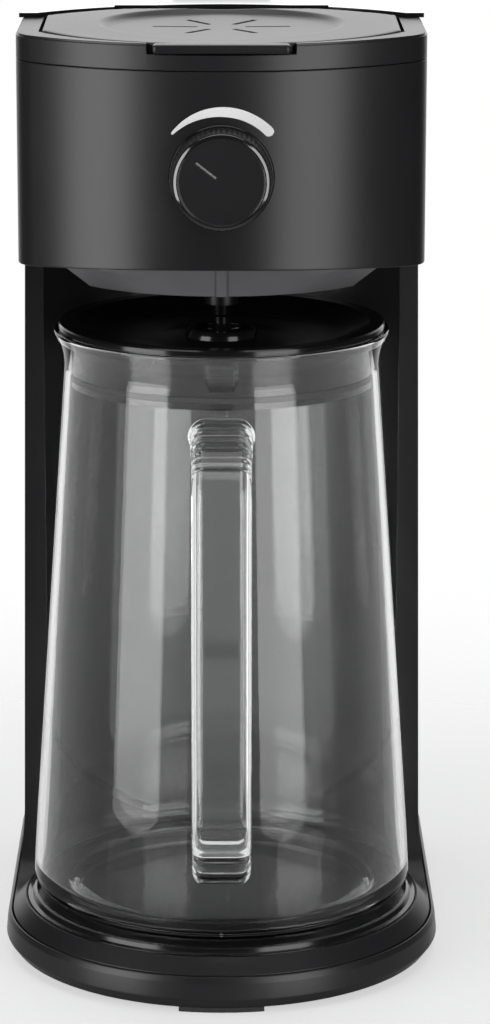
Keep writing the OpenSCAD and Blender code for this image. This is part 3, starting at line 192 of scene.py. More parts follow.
# Knob, its engraved pointer and the printed arc above it, with angles in degrees from the right
KNOB_Z = (span("strength_knob")[0][2] + span("strength_knob")[1][2]) / 2
KNOB_FACE, KNOB_BACK = span("strength_knob")[0][1], span("strength_knob")[1][1]
KNOB_R, KNOB_POINTS, KNOB_STEP, BEZEL_R = 19.35, 600, 0.55, 20.3
POINTER_ANGLE, POINTER_ENDS, POINTER_HW, POINTER_DEEP = 142.0, (2.2, 12.6), 0.6, 0.6
ARC_R, ARC_START, ARC_SWEEP, ARC_LEVEL = 25.0, 139.5, 100.0, 0.6

# Basket: its wall draws in by BASKET_TAPER over BASKET_DEEP. Its nozzle is black up to NOZZLE_TOP, in metres
BASKET_HW, BASKET_R, BASKET_REACH = span("brew_basket")[1][0] - 3.4, 80.0, 50.0
BASKET_TAPER, BASKET_DEEP = 11.0, 16.4
NOZZLE_TOP = (span("brew_basket")[0][2] + 9.4) / 1000

# Pitcher and handle: the ends are the heights of the handle's two arms above the pitcher's foot
JAR_Z, JAR_TOP = span("pitcher_glass")[0][2], span("pitcher_glass")[1][2]
JAR_R = span("pitcher_glass")[1][0]
JAR_NECK, JAR_RIM, JAR_FOOT, JAR_FLARE, GLASS = 64.0, 67.4, 10.0, 15.0, 3.0
HANDLE_ENDS, HANDLE_BEND, HANDLE_HW, HANDLE_T = (35.6, 204.6), 24.0, 11.5, 11.0
RING_STEP, RING_DEEP, ROOT_SWELL = 5.2, 0.55, 1.1

# Edges of a solid that turn by more than this stay sharp
EDGE_ANGLE = math.radians(32)

# Studio: how solid the floor is, how bright the dark room and the even light are, and the lamps, each with
# its name, place, aim, width and height in metres, and radiance
FLOOR_WEIGHT, DARK_ROOM, SOFT_LIGHT = 0.45, 0.04, 0.22
LAMPS = (
    ("left_box", (-1.13, -0.82, 0.35), (0, 0, 0.25), (0.80, 1.40), 4.0),
    ("right_box", (0.86, -1.10, 0.35), (0, 0, 0.25), (0.75, 1.40), 3.4),
    ("top_box", (0.0, 0.1, 1.6), (0, 0, 0.2), (1.5, 1.2), 1.6),
    ("rear_card", (0.0, 1.25, 0.95), (0, 0, 0.38), (2.2, 1.5), 0.6),
)
CAMERA_PLACE, CAMERA_TILT, CAMERA_SHIFT = (0.0, -1.5218, 0.546), 13.563, 0.02295


# Sizes and colours
class MakerSizes(bpy.types.PropertyGroup):
    """Sizes that a user would change."""

    edge: FloatProperty(name="Edge radius", description="Radius on the head's lower edge, in millimetres",
                        default=0.9, min=0.2, max=2.0)
    flutes: IntProperty(name="Knob flutes", description="Number of finger flutes round the knob",
                        default=60, min=12, max=72)
    flute_depth: FloatProperty(name="Flute depth", description="Depth of the finger flutes, in millimetres",
                               default=0.45, min=0.1, max=1.0)
    arc_thin: FloatProperty(name="Arc thin end", default=0.9, min=0.3, max=2.0,
                            description="Width of the scale arc's thin end, in millimetres")
    arc_wide: FloatProperty(name="Arc wide end", default=3.8, min=1.0, max=5.0,
                            description="Width of the scale arc's wide end, in millimetres")
    lens: FloatProperty(name="Lens", description="Focal length of the camera, in millimetres", default=133.7,
                        min=50, max=300, unit="CAMERA")


class MakerColours(bpy.types.PropertyGroup):
    """Colours that a user would change."""

    shell: FloatVectorProperty(name="Shell", description="Satin black of the housings", subtype="COLOR",
                               size=3, default=(0.0085, 0.0085, 0.0095), min=0, max=1)
    trim: FloatVectorProperty(name="Trim", description="Gloss black of the lid and seat", subtype="COLOR",
                              size=3, default=(0.0045, 0.0045, 0.005), min=0, max=1)
    # The basket's grey is in part a painted reflection of the bright room round it.
    basket: FloatVectorProperty(name="Basket", description="Dark grey of the brew basket", subtype="COLOR",
                                size=3, default=(0.13, 0.13, 0.135), min=0, max=1)
    tank: FloatVectorProperty(name="Tank", description="Tint of the water tank", subtype="COLOR",
                              size=3, default=(0.30, 0.32, 0.33), min=0, max=1)
    print_white: FloatVectorProperty(name="Print", description="White of the printed scale arc",
                                     subtype="COLOR", size=3, default=(0.82, 0.82, 0.82), min=0, max=1)
    floor: FloatVectorProperty(name="Floor", description="Pale floor", subtype="COLOR",
                               size=3, default=(0.88, 0.88, 0.89), min=0, max=1)


def sizes():
    """The sizes as the user set them."""
    return bpy.context.scene.maker_sizes


def colours():
    """The colours as the user set them."""
    return bpy.context.scene.maker_colours


def scaled(colour, times):
    """A colour with each channel multiplied, and no channel above 1."""
    return tuple(min(1.0, channel * times) for channel in colour)


# Shader maths
class Value:
    """A socket that takes + * and comparisons in expressions, each of which adds a Math node."""

    def __init__(self, tree, socket):
        self.tree, self.socket = tree, socket

    def _math(self, operation, other):
        return self.tree.node("ShaderNodeMath", {"operation": operation}, [self, other])

    def __add__(self, other):
        return self._math("ADD", other)

    def __mul__(self, other):
        return self._math("MULTIPLY", other)

    def __gt__(self, other):
        return self._math("GREATER_THAN", other)

    def __lt__(self, other):
        return self._math("LESS_THAN", other)

    __radd__, __rmul__ = __add__, __mul__

    def ramp(self, low, high, to_low=0.0, to_high=1.0):
        """Smooth step of this value from low to high."""
        return self.tree.node("ShaderNodeMapRange", {"interpolation_type": "SMOOTHSTEP"},
                              [self, low, high, to_low, to_high])


class Nodes:
    """An emptied node tree, to which node() adds any node."""

    def __init__(self, tree):
        self.nodes, self.links = tree.nodes, tree.links
        self.nodes.clear()

    def node(self, kind, settings=None, inputs=(), output=0):
        """Adds a node, sets it up, fills or links its inputs by number or by name, and gives one output."""
        item = self.nodes.new(kind)
        for key, value in (settings or {}).items():
            setattr(item, key, value)
        for key, value in inputs.items() if isinstance(inputs, dict) else enumerate(inputs):
            if isinstance(value, Value):
                self.links.new(value.socket, item.inputs[key])
            elif item.inputs[key].type == "RGBA":
                item.inputs[key].default_value = (*value, 1.0)[:4]
            else:
                item.inputs[key].default_value = value
        return Value(self, item.outputs[output]) if item.outputs else None


class Finish(Nodes):
    """A material under construction, with the usual patterns on the object's own coordinates."""

    def __init__(self, name):
        self.material = bpy.data.materials.new(name)
        self.material.use_nodes = True
        super().__init__(self.material.node_tree)
        self.place = self.node("ShaderNodeTexCoord", output="Object")

    def noise(self, scale, detail, rough):
        """Noise from 0 to 1 with this many grains to the metre."""
        return self.node("ShaderNodeTexNoise", {"noise_dimensions": "3D"},
                         {"Vector": self.place, "Scale": scale, "Detail": detail, "Roughness": rough})

    def mix(self, factor, a, b):
        """Colour a where factor is 0 and b where it is 1."""
        return self.node("ShaderNodeMix", {"data_type": "RGBA"}, {0: factor, 6: a, 7: b}, 2)

    def bump(self, height, strength, distance, below=None):
        """Normal tilted by a height of up to this many metres, on top of the normal below if one is given."""
        inputs = {"Height": height, "Strength": strength, "Distance": distance}
        if below is not None:
            inputs["Normal"] = below
        return self.node("ShaderNodeBump", inputs=inputs)

    def soft_edge(self, radius):
        """Normal rounded off near sharp edges, over a radius in metres."""
        return self.node("ShaderNodeBevel", {"samples": 4}, {"Radius": radius})

    def shade(self, **inputs):
        """Principled shader on the output; underscores in names stand for spaces."""
        named = {key.replace("_", " "): value for key, value in inputs.items()}
        shader = self.node("ShaderNodeBsdfPrincipled", inputs=named)
        self.node("ShaderNodeOutputMaterial", inputs=[shader])
        return self.material


# Finishes
MATERIALS = {}


def finish_of(name):
    """Each finish is made once, by the function named after it."""
    if name not in MATERIALS:
        MATERIALS[name] = globals()["make_" + name]()
    return MATERIALS[name]


def make_satin_black():
    """Moulded black plastic: fine spark texture, faint flow marks and slightly worn roughness."""
    f = Finish("satin_black")
    cloud = f.noise(9.0, 4.0, 0.55)
    speck = f.noise(900.0, 2.0, 0.6)
    tone = f.mix(cloud.ramp(0.3, 0.7), colours().shell, scaled(colours().shell, 1.5))
    rough = 0.27 + 0.08 * cloud + 0.05 * speck
    grain = f.bump(speck, 0.05, 0.0002, f.soft_edge(0.0005))
    return f.shade(Base_Color=tone, Roughness=rough, IOR=1.5, Normal=grain)


def polished_black(name, rough, spread, edge, **coat):
    """Polished black plastic with hairline wipe marks in its colour and its roughness."""
    f = Finish(name)
    wipe = f.noise(60.0, 6.0, 0.7)
    tone = f.mix(wipe, colours().trim, scaled(colours().trim, 1.4))
    return f.shade(Base_Color=tone, Roughness=rough + spread * wipe, IOR=1.5, Normal=f.soft_edge(edge),
                   **coat)


def make_gloss_black():
    """Polished black plastic of the seat, the pitcher's lid and the trim."""
    return polished_black("gloss_black", 0.10, 0.10, 0.0004)


def make_deck_black():
    """Polished black plastic under a clear coat, for the deck behind the lid and the knob's bead."""
    return polished_black("deck_black", 0.12, 0.08, 0.0003, Coat_Weight=1.0, Coat_Roughness=0.08,
                          Coat_IOR=1.7)


def make_basket_grey():
    """Dark grey moulded plastic of the brew basket, its grey in part a painted reflection of the bright room, with
    faint draw marks, and black on its nozzle.
    """
    f = Finish("basket_grey")
    cloud = f.noise(14.0, 4.0, 0.6)
    speck = f.noise(800.0, 2.0, 0.6)
    height = f.node("ShaderNodeSeparateXYZ", inputs=[f.place], output="Z")
    # Painted reflection: the basket's grey stands in part for the bright room that it reflects.
    tone = f.mix(cloud.ramp(0.3, 0.7), colours().basket, scaled(colours().basket, 1.25))
    tone = f.mix(height > NOZZLE_TOP, colours().trim, tone)
    return f.shade(Base_Color=tone, Roughness=0.3 + 0.1 * cloud, IOR=1.5,
                   Normal=f.bump(speck, 0.06, 0.0002, f.soft_edge(0.0004)))


def make_clear_glass():
    """Clear pressed glass of the pitcher with faint waviness."""
    f = Finish("clear_glass")
    ripple = f.bump(f.noise(22.0, 2.0, 0.4), 0.04, 0.002)
    return f.shade(Base_Color=(0.985, 0.988, 0.988), Roughness=0.0, Transmission_Weight=1.0, IOR=1.38,
                   Normal=ripple)


def make_clear_plastic():
    """Clear glass of the handle, a little less even than the pitcher's wall."""
    f = Finish("clear_plastic")
    ripple = f.bump(f.noise(60.0, 2.0, 0.4), 0.05, 0.001)
    return f.shade(Base_Color=(0.96, 0.965, 0.965), Roughness=0.03, Transmission_Weight=1.0, IOR=1.5,
                   Normal=ripple)


def make_smoke_plastic():
    """Smoke grey clear plastic of the water tank."""
    f = Finish("smoke_plastic")
    tone = f.mix(f.noise(30.0, 3.0, 0.5), colours().tank, scaled(colours().tank, 1.15))
    return f.shade(Base_Color=tone, Roughness=0.12, Transmission_Weight=0.75, IOR=1.5)


def printed(name, scale, ink, worn, rough):
    """Paint with slightly broken ink: a fine noise mixes two tones and lifts the surface."""
    f = Finish(name)
    grain = f.noise(scale, 3.0, 0.6)
    tone = f.mix(grain.ramp(0.3, 0.75), ink, worn)
    return f.shade(Base_Color=tone, Roughness=rough, Normal=f.bump(grain, 0.05, 0.0001))


def make_print_white():
    """White pad print of the scale arc."""
    return printed("print_white", 1500.0, colours().print_white, scaled(colours().print_white, 0.93), 0.5)


def make_pointer_grey():
    """Grey in the knob's engraved pointer, a painted highlight of the groove, broken by a fine noise."""
    # Painted highlight: this grey stands in for the light that the groove catches.
    return printed("pointer_grey", 1400.0, (0.20, 0.20, 0.20), (0.13, 0.13, 0.13), 0.45)


def grained(name, noise, dark, pale, rough, bump, spread=0.0, **others):
    """Finish whose colour and bumps follow one fine noise, as does the roughness where it has a spread."""
    f = Finish(name)
    grain = f.noise(*noise)
    if spread:
        rough = rough + spread * grain
    return f.shade(Base_Color=f.mix(grain, dark, pale), Roughness=rough, Normal=f.bump(grain, *bump),
                   **others)


def make_soft_rubber():
    """Matt black rubber with a dusty grain."""
    return grained("soft_rubber", (700.0, 4.0, 0.7), (0.014, 0.014, 0.015), (0.035, 0.035, 0.036), 0.7,
                   (0.2, 0.0002))


def make_hose_silicone():
    """Milky silicone hose."""
    return grained("hose_silicone", (180.0, 3.0, 0.5), (0.62, 0.59, 0.54), (0.72, 0.70, 0.65), 0.42,
                   (0.1, 0.0002), Subsurface_Weight=0.15)


def make_bright_steel():
    """Zinc-plated steel with a fine grain."""
    return grained("bright_steel", (420.0, 5.0, 0.7), (0.48, 0.48, 0.49), (0.66, 0.66, 0.67), 0.24,
                   (0.08, 0.0001), 0.16, Metallic=1.0)


def make_cast_alloy():
    """Sand-cast aluminium of the heater."""
    return grained("cast_alloy", (260.0, 6.0, 0.75), (0.36, 0.36, 0.37), (0.56, 0.56, 0.57), 0.38,
                   (0.5, 0.0004), 0.2, Metallic=1.0)


def make_milk_plastic():
    """Natural white engineering plastic."""
    return grained("milk_plastic", (240.0, 3.0, 0.6), (0.66, 0.65, 0.61), (0.74, 0.73, 0.70), 0.45,
                   (0.06, 0.0002), Subsurface_Weight=0.08)


def make_filter_grey():
    """Grey plastic of the filter frame."""
    return grained("filter_grey", (420.0, 3.0, 0.6), (0.10, 0.105, 0.11), (0.15, 0.155, 0.16), 0.45,
                   (0.08, 0.0002))


# Outlines and profiles
def circle(n):
    """n even angles round a full turn, in radians."""
    return np.radians(np.arange(n) * 360.0 / n)


def smooth_step(value, low, high):
    """Cubic blend from 0 at low to 1 at high."""
    t = np.clip((value - low) / (high - low), 0, 1)
    return t * t * (3 - 2 * t)


def arc(cx, cy, r, a0, a1, n):
    """Points (cx + r cos a, cy + r sin a) for n + 1 even angles from a0 to a1 degrees."""
    a = np.radians(np.linspace(a0, a1, n + 1))
    return np.c_[cx + r * np.cos(a), cy + r * np.sin(a)]


def both_sides(*right):
    """The right half of an outline, from front to back, joined to its mirror image."""
    half = np.vstack(right)
    left = half[::-1] * [-1.0, 1.0]
    return np.vstack([half, left[np.abs(left[:, 0]) > 1e-6]])


def base_plan(inset):
    """Round nose of radius BASE_R, straight sides and rounded back corners, drawn in by an inset."""
    r, back, corner = BASE_R - inset, BASE_BACK - inset, BASE_CORNER - inset
    return both_sides(arc(0, 0, r, -90, 0, 60), arc(r - corner, back - corner, corner, 0, 90, 20))


def head_plan(inset):
    """Broad front arc, shoulder arcs that touch it and the straight sides, and a back arc, all drawn in."""
    r, s, hw = HEAD_ARC - inset, SHOULDER_R - inset, HEAD_HW - inset
    cy = HEAD_ARC - HEAD_FRONT
    sx = hw - s
    sy = cy - math.sqrt((r - s) ** 2 - sx ** 2)
    turn = math.degrees(math.atan2(sy - cy, sx))
    back, rr = CHEEK_Y - inset, COLUMN_R - inset
    bx = math.sqrt(rr * rr - back * back)
    return both_sides(arc(0, cy, r, -90, turn, 48), arc(sx, sy, s, turn, 0, 24), [[hw, back]],
                      arc(0, 0, rr, math.degrees(math.atan2(back, bx)), 90, 24))


def basket_hole(inset, plan):
    """The basket's outline, two bowed arcs cut off by straight sides, on the bearings of a plan's points."""
    r, cy = BASKET_R - inset, BASKET_R - BASKET_REACH
    c, s = (plan / np.linalg.norm(plan, axis=1)[:, None]).T
    bowed = np.sqrt(r * r - (cy * c) ** 2) - cy * np.abs(s)
    far = np.minimum(bowed, (BASKET_HW - inset) / np.maximum(np.abs(c), 1e-6))
    return np.c_[c * far, s * far]


def rounded(points, radii, steps=5):
    """Replaces each corner of an open profile by an arc that touches both of its sides."""
    p = np.asarray(points, float)
    out = [p[:1]]
    for k in range(1, len(p) - 1):
        a, b = p[k - 1] - p[k], p[k + 1] - p[k]
        la, lb = np.linalg.norm(a), np.linalg.norm(b)
        a, b = a / la, b / lb
        half = math.acos(max(-1.0, min(1.0, float(a @ b)))) / 2
        cut = min(radii[k] / max(math.tan(half), 1e-6), 0.49 * la, 0.49 * lb)
        if cut < 1e-4 or half > 1.55:
            out.append(p[k:k + 1])
            continue
        r = cut * math.tan(half)
        centre = p[k] + (a + b) / np.linalg.norm(a + b) * r / math.sin(half)
        start, end = p[k] + a * cut - centre, p[k] + b * cut - centre
        turn = math.atan2(start[0] * end[1] - start[1] * end[0], start @ end)
        t = np.linspace(0, turn, steps + 1)
        out.append(centre + np.c_[start[0] * np.cos(t) - start[1] * np.sin(t),
                                  start[0] * np.sin(t) + start[1] * np.cos(t)])
    out.append(p[-1:])
    return np.vstack(out)


def divided(profile, step):
    """Splits each side of a profile into as many equal parts as it holds whole steps."""
    out = [profile[0]]
    for a, b in zip(profile[:-1], profile[1:]):
        parts = max(1, int(np.linalg.norm(b - a) / step))
        out.extend(a + (b - a) * share for share in np.linspace(0, 1, parts + 1)[1:])
    return np.array(out)


# Surfaces
def level(plan, z):
    """An outline's points at a height, or each at its own height."""
    return np.c_[plan, z + 0 * plan[:, 0]]


def carried(plan, profile):
    """Grid of an outline drawn in by each profile point's first value at the height of its second."""
    return np.stack([level(plan(inset), z) for inset, z in profile])


def lathed(profile, n=192):
    """Grid of a profile of (radius, height) turned about the pitcher's axis."""
    a = circle(n)
    r, z = np.hsplit(np.asarray(profile, float), 2)
    return np.stack([r * np.cos(a), r * np.sin(a), z + 0 * a], -1)


def faced(r, behind, front, n):
    """Grid of points at radius r about the knob's axis, this far behind a front, at n even angles."""
    a = circle(n)
    return np.stack([r * np.cos(a), front + behind + 0 * a, KNOB_Z + r * np.sin(a)], -1)


def strip(grid, close_v=False, cap_first=False, cap_last=False):
    """Quads between neighbouring points of a grid whose rows are closed loops, with flat caps where asked.
    Faces are turned outwards by the sign of the enclosed volume."""
    grid = np.asarray(grid, float)
    rows, cols = grid.shape[:2]
    index = np.arange(rows * cols).reshape(rows, cols)
    walk = np.vstack([index, index[:1]]) if close_v else index
    walk = np.hstack([walk, walk[:, :1]])
    quads = np.stack([walk[:-1, :-1], walk[:-1, 1:], walk[1:, 1:], walk[1:, :-1]], -1).reshape(-1, 4)
    points = grid.reshape(-1, 3)
    faces = quads.tolist()
    if cap_first:
        faces.append(index[0][::-1].tolist())
    if cap_last:
        faces.append(index[-1].tolist())
    a, b, c, d = (points[quads[:, k]] - points.mean(0) for k in range(4))
    volume = np.einsum("ij,ij->", a, np.cross(b, c)) + np.einsum("ij,ij->", a, np.cross(c, d))
    if volume < 0:
        faces = [face[::-1] for face in faces]
    return points, faces


def meshed(name, points, faces, material):
    """Links a new object whose mesh has the given points, in metres, and faces."""
    mesh = bpy.data.meshes.new(name)
    mesh.from_pydata(points.tolist(), [], faces)
    mesh.validate()
    mesh.materials.append(material)
    piece = bpy.data.objects.new(name, mesh)
    bpy.context.scene.collection.objects.link(piece)
    return piece


def add_piece(name, shells, body, finish, slot, replaces=(), sharp=32.0):
    """Makes one object of several (points, faces) shells, in millimetres about the pitcher's axis, that rides
    on a body. Edges that turn by more than sharp degrees stay sharp."""
    points, faces, base = [], [], 0
    for p, f in shells:
        points.append(p)
        faces.extend([[k + base for k in face] for face in f])
        base += len(p)
    points = (np.vstack(points) - [0.0, Y_MID, 0.0]) / 1000.0
    piece = meshed(name, points, faces, finish_of(finish))
    piece.data.shade_smooth()
    piece.data.set_sharp_from_angle(angle=math.radians(sharp))
    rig.ride(piece, body)
    if replaces:
        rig.replaces(piece, *replaces)
    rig.slot(piece, slot)


def rounded_shading():
    """Node group that joins a solid's triangles and shades them smooth, apart from edges over EDGE_ANGLE."""
    name = "rounded_shading"
    if name in bpy.data.node_groups:
        return bpy.data.node_groups[name]
    group = bpy.data.node_groups.new(name, "GeometryNodeTree")
    for way in ("INPUT", "OUTPUT"):
        group.interface.new_socket("Geometry", in_out=way, socket_type="NodeSocketGeometry")
    tree = Nodes(group)
    solid = tree.node("NodeGroupInput")
    joined = tree.node("GeometryNodeMergeByDistance", inputs={0: solid, "Distance": 1e-5})
    smooth = tree.node("GeometryNodeSetShadeSmooth", inputs=[joined])
    angle = tree.node("GeometryNodeInputMeshEdgeAngle", output="Unsigned Angle")
    wide = tree.node("FunctionNodeCompare", {"operation": "GREATER_THAN"}, [angle, EDGE_ANGLE])
    sharp = tree.node("GeometryNodeSetShadeSmooth", {"domain": "EDGE"},
                      {0: smooth, "Selection": wide, "Shade Smooth": False})
    tree.node("NodeGroupOutput", inputs=[sharp])
    return group


def paint(finish, *nodes):
    """Puts a finish on solids that show as they are, and shades their curved faces smooth."""
    for name in nodes:
        node = frame["nodes"][name]
        node.modifiers.new("rounded_shading", "NODES").node_group = rounded_shading()
        if not node.material_slots:
            node.data.materials.append(None)
        for holder in node.material_slots:
            holder.material = finish_of(finish)


# Operators
class PieceOperator:
    """Shared by all the operators: build() does the work and an error stops the script."""

    bl_options = {"REGISTER", "UNDO"}

    def execute(self, context):
        self.build()
        return {"FINISHED"}


class TEA_OT_base(PieceOperator, bpy.types.Operator):
    """Base band with a bevelled foot and a rounded rim, on its rubber feet"""

    bl_idname = "tea.base"
    bl_label = "Base band"

    def build(self):
        """The band's section of (inset, height) is carried round the base's outline."""
        low, top = BAND_LOW, BAND_TOP
        section = rounded([[5.6, low - 1], [3.0, low - 1], [0, low + 3], [0.7, top - 2.4], [1.6, top],
                           [2.4, top], [2.4, low + 5], [5.6, low + 5]], [0, 0.6, 1.6, 2.2, 0.4, 0.3, 0.2, 0])
        shell = strip(carried(base_plan, section), close_v=True)
        add_piece("band_surface", [shell], "machine", "satin_black", "body_black", ["base_band"])
        paint("satin_black", "base_plate")
        paint("soft_rubber", "foot_pads")


class TEA_OT_seat(PieceOperator, bpy.types.Operator):
    """Round seat under the pitcher with its stepped rings"""

    bl_idname = "tea.seat"
    bl_label = "Pitcher seat"

    def build(self):
        """The seat's section of (radius, height) is turned about the pitcher's axis."""
        low, top, r, under = SEAT_LOW, SEAT_TOP, SEAT_R, SEAT_LOW + 3.2
        rings = rounded([[r - 8, low], [r, low], [r, low + 2.3], [r - 1.9, low + 2.5], [r - 2.6, top - 0.5],
                         [r - 3.6, top], [12, top]], [0, 0, 0.15, 0.1, 0.15, 0.15, 0])
        section = np.vstack([rings, [[0.5, top], [0.5, under], [12, under], [r - 8, under]]])
        shell = strip(lathed(section), close_v=True)
        add_piece("seat_surface", [shell], "machine", "gloss_black", "trim_black", ["seat_plate"])


class TEA_OT_column(PieceOperator, bpy.types.Operator):
    """Column, its back skin, the tower's cover and the tank deck"""

    bl_idname = "tea.column"
    bl_label = "Column"

    def build(self):
        paint("satin_black", "main_body", "column_back", "rear_cover", "tank_deck")
        paint("gloss_black", "switch_housing", "power_rocker")
        paint("soft_rubber", "cord_gland", "socket_seal")


class TEA_OT_head(PieceOperator, bpy.types.Operator):
    """Head housing: a wall with an arched lower edge round a floor with the basket's opening"""

    bl_idname = "tea.head"
    bl_label = "Head housing"

    def build(self):
        """Wall rows run up the outside and down the inside; floor rows run out below and back above."""
        edge, top = sizes().edge, RING_Z - 0.3
        arch = (HEAD_HW ** 2 + SKIRT ** 2) / (2 * SKIRT)
        plan = head_plan(0.0)
        low = HEAD_Z - arch + np.sqrt(arch ** 2 - plan[:, 0] ** 2)
        low = np.where(plan[:, 1] < TIP_Y - 0.3, low, HEAD_Z)
        foot = rounded([[HEAD_WALL, 0], [0, 0], [0, 1.0]], [0, edge, 0], 6)
        rows = [level(head_plan(inset), low + rise) for inset, rise in foot]
        for share in np.linspace(0.06, 1.0, 10):
            rows.append(level(plan, low + 1 + (top - 0.25 - low - 1) * share))
        rim = ((0.25, top), (HEAD_WALL, top), (HEAD_WALL, HEAD_Z + 2))
        wall = strip(np.concatenate([np.stack(rows), carried(head_plan, rim)]), close_v=True)
        outer = head_plan(1.2)
        hole = basket_hole(-2.4, outer)
        floor = strip([level(outer, HEAD_Z), level(hole, HEAD_Z), level(hole, HEAD_Z + HEAD_WALL),
                       level(outer, HEAD_Z + HEAD_WALL)], close_v=True)
        add_piece("head_surface", [wall, floor], "machine", "satin_black", "body_black", ["housing_shell"])
        paint("satin_black", "top_ring", "basket_carrier")
        self.deck()

    def deck(self):
        """Plate behind the lid: y runs from the lid's arc or the hinge notch to the column's back, and the
        hinge cover rises from it as a shallow slope."""
        hw = HEAD_HW + DECK_OVER
        notch = NOTCH_HW + np.array([-0.01, 0.01])
        x = np.sort(np.r_[np.linspace(-hw, hw, 201), -notch, notch])
        front = np.maximum(DECK_ENDS_Y, np.sqrt(DECK_R ** 2 - x ** 2) + GAP_Y)
        front = np.where(np.abs(x) < NOTCH_HW, np.maximum(front, HINGE_Y + NOTCH_DEEP), front)
        back = np.maximum(CHEEK_Y, np.sqrt(COLUMN_R ** 2 - x ** 2))
        y = front[:, None] + (back - front)[:, None] * np.linspace(0, 1, 41)
        x = x[:, None] + 0 * y
        slope = smooth_step(y, *COVER_UP) * (1 - smooth_step(y, *COVER_DOWN))
        slope = slope * (1 - smooth_step(np.abs(x), *COVER_SIDE))
        top = np.stack([x, y, TOP_Z + DECK_T + (COVER_H - DECK_T) * slope], -1)
        under = np.stack([x, y, TOP_Z + 0 * y], -1)[:, ::-1]
        shell = strip(np.concatenate([top, under], 1), cap_first=True, cap_last=True)
        add_piece("deck_surface", [shell], "machine", "deck_black", "body_black", ["rear_deck"], sharp=40)


def lid_reach(c, s):
    """Distance from the dish's centre to the lid's edge along (c, s): the least of front arc, back arc, sides
    and chord."""
    bow = LID_FRONT - LID_SHOULDER
    front_r = (LID_HW ** 2 + bow ** 2) / (2 * bow)

    def to_arc(y, r):
        """Distance along (c, s) to a circle of radius r about (0, y)."""
        return s * (y - DISH_Y) + np.sqrt(np.maximum(r * r - ((y - DISH_Y) * c) ** 2, 0))

    side = LID_HW / np.maximum(np.abs(c), 1e-6)
    chord = np.where(s > 1e-3, (LID_CHORD - DISH_Y) / np.maximum(s, 1e-3), 1e3)
    return np.min([to_arc(front_r - LID_FRONT, front_r), to_arc(GAP_Y, LID_BACK_R), side, chord], axis=0)


def lid_height(x, y):
    """Top of the lid: it rises to the rear and settles at its edge. The dish cuts into the rise and sinks
    towards its middle, with six slots in a star."""
    r = np.hypot(x, y - DISH_Y)
    rise = LID_RISE * smooth_step(y, -70, 44) * (1 - 0.85 * smooth_step(y, 45, LID_CHORD))
    rise = rise * (1 - 0.5 * smooth_step(np.hypot(x, y - GAP_Y), LID_BACK_R - 5.5, LID_BACK_R - 0.5))
    dish = smooth_step(-r, -DISH_R, DISH_EDGE - DISH_R)
    top = TOP_Z + rise * (1 - dish) - 0.45 * dish - 0.25 * smooth_step(-r, 8 - DISH_R, 0)
    turn = np.arctan2(y - DISH_Y, x)
    off = turn - np.round(turn / (math.pi / 3)) * math.pi / 3
    along, across = r * np.cos(off), r * np.sin(off)
    near, far = SLOT_ENDS
    slot = smooth_step(SLOT_HW - np.abs(across), 0, 0.5) * smooth_step(along, near - 0.4, near + 0.4)
    return top - SLOT_DEPTH * slot * smooth_step(-along, -far - 0.4, -far + 0.4)


class TEA_OT_lid(PieceOperator, bpy.types.Operator):
    """Brew lid with its dish, star slots and front tab"""

    bl_idname = "tea.lid"
    bl_label = "Brew lid"

    def build(self):
        """Rings about the dish's centre: at set radii in the dish, at shares of the way from there to the
        edge, rolled over the edge, and back to the middle below. They lie close where the slots are."""
        turn = circle(432)
        c, s = np.cos(turn), np.sin(turn)
        reach = lid_reach(c, s)
        start, low = DISH_R + 0.6, TOP_Z - LID_T
        dish = np.r_[0.5, 3, 6, 9, np.linspace(9.4, 27.2, 30), np.linspace(28.5, 40, 8),
                     np.linspace(41, start, 16)]
        share = np.linspace(0, 1, 9)[1:, None]
        r = np.vstack([dish[:, None] + 0 * reach, start + (reach - 0.9 - start) * share])
        z = lid_height(r * c, DISH_Y + r * s)
        inset, drop = np.hsplit(np.array([[0.45, 0.12], [0.13, 0.42], [0.0, 0.9]]), 2)
        under, sunk = np.hsplit(np.array([[47.5, 0], [45.5, 1.6], [0.5, 1.6]]), 2)
        r = np.vstack([r, reach - inset, reach, under + 0 * reach])
        z = np.vstack([z, z[-1] - drop, low + 0 * reach, low - sunk + 0 * reach])
        top = strip(np.stack([r * c, DISH_Y + r * s, z], -1), cap_first=True, cap_last=True)
        add_piece("lid_surface", [top, self.tab(), self.knuckle()], "brew_lid", "satin_black", "body_black",
                  ["brew_lid"], sharp=40)
        paint("milk_plastic", "shower_plate", "water_spout")
        paint("bright_steel", "lid_hinge_pin")

    def tab(self):
        """Bar across the lid's front edge: an outline with round corners, drawn in at its top and bottom."""
        back, front = -LID_FRONT + 4, -HEAD_FRONT - 0.6

        def plan(inset):
            """The bar's outline, drawn in by an inset."""
            x, r = TAB_HW - TAB_R, TAB_R - inset
            return both_sides(arc(x, front + TAB_R, r, -90, 0, 8), arc(x, back - TAB_R, r, 0, 90, 8))

        side = ((1.0, 3.6), (0.4, 3.3), (0.15, 2.6), (0, 1.6), (0.15, 0.8), (0.5, 0.25), (1.3, 0))
        grid = carried(plan, [(inset, TOP_Z - drop) for inset, drop in side])
        return strip(grid, cap_first=True, cap_last=True)

    def knuckle(self):
        """Hinge knuckle: a section of (radius, x) turned about the hinge's axis."""
        a = circle(48)
        section = ((1.26, -15.0), (2.1, -15.0), (2.4, -14.6), (2.4, 14.6), (2.1, 15.0), (1.26, 15.0))
        rings = [np.c_[0 * a + x, HINGE_Y + r * np.cos(a), HINGE_Z + r * np.sin(a)] for r, x in section]
        return strip(rings, close_v=True)


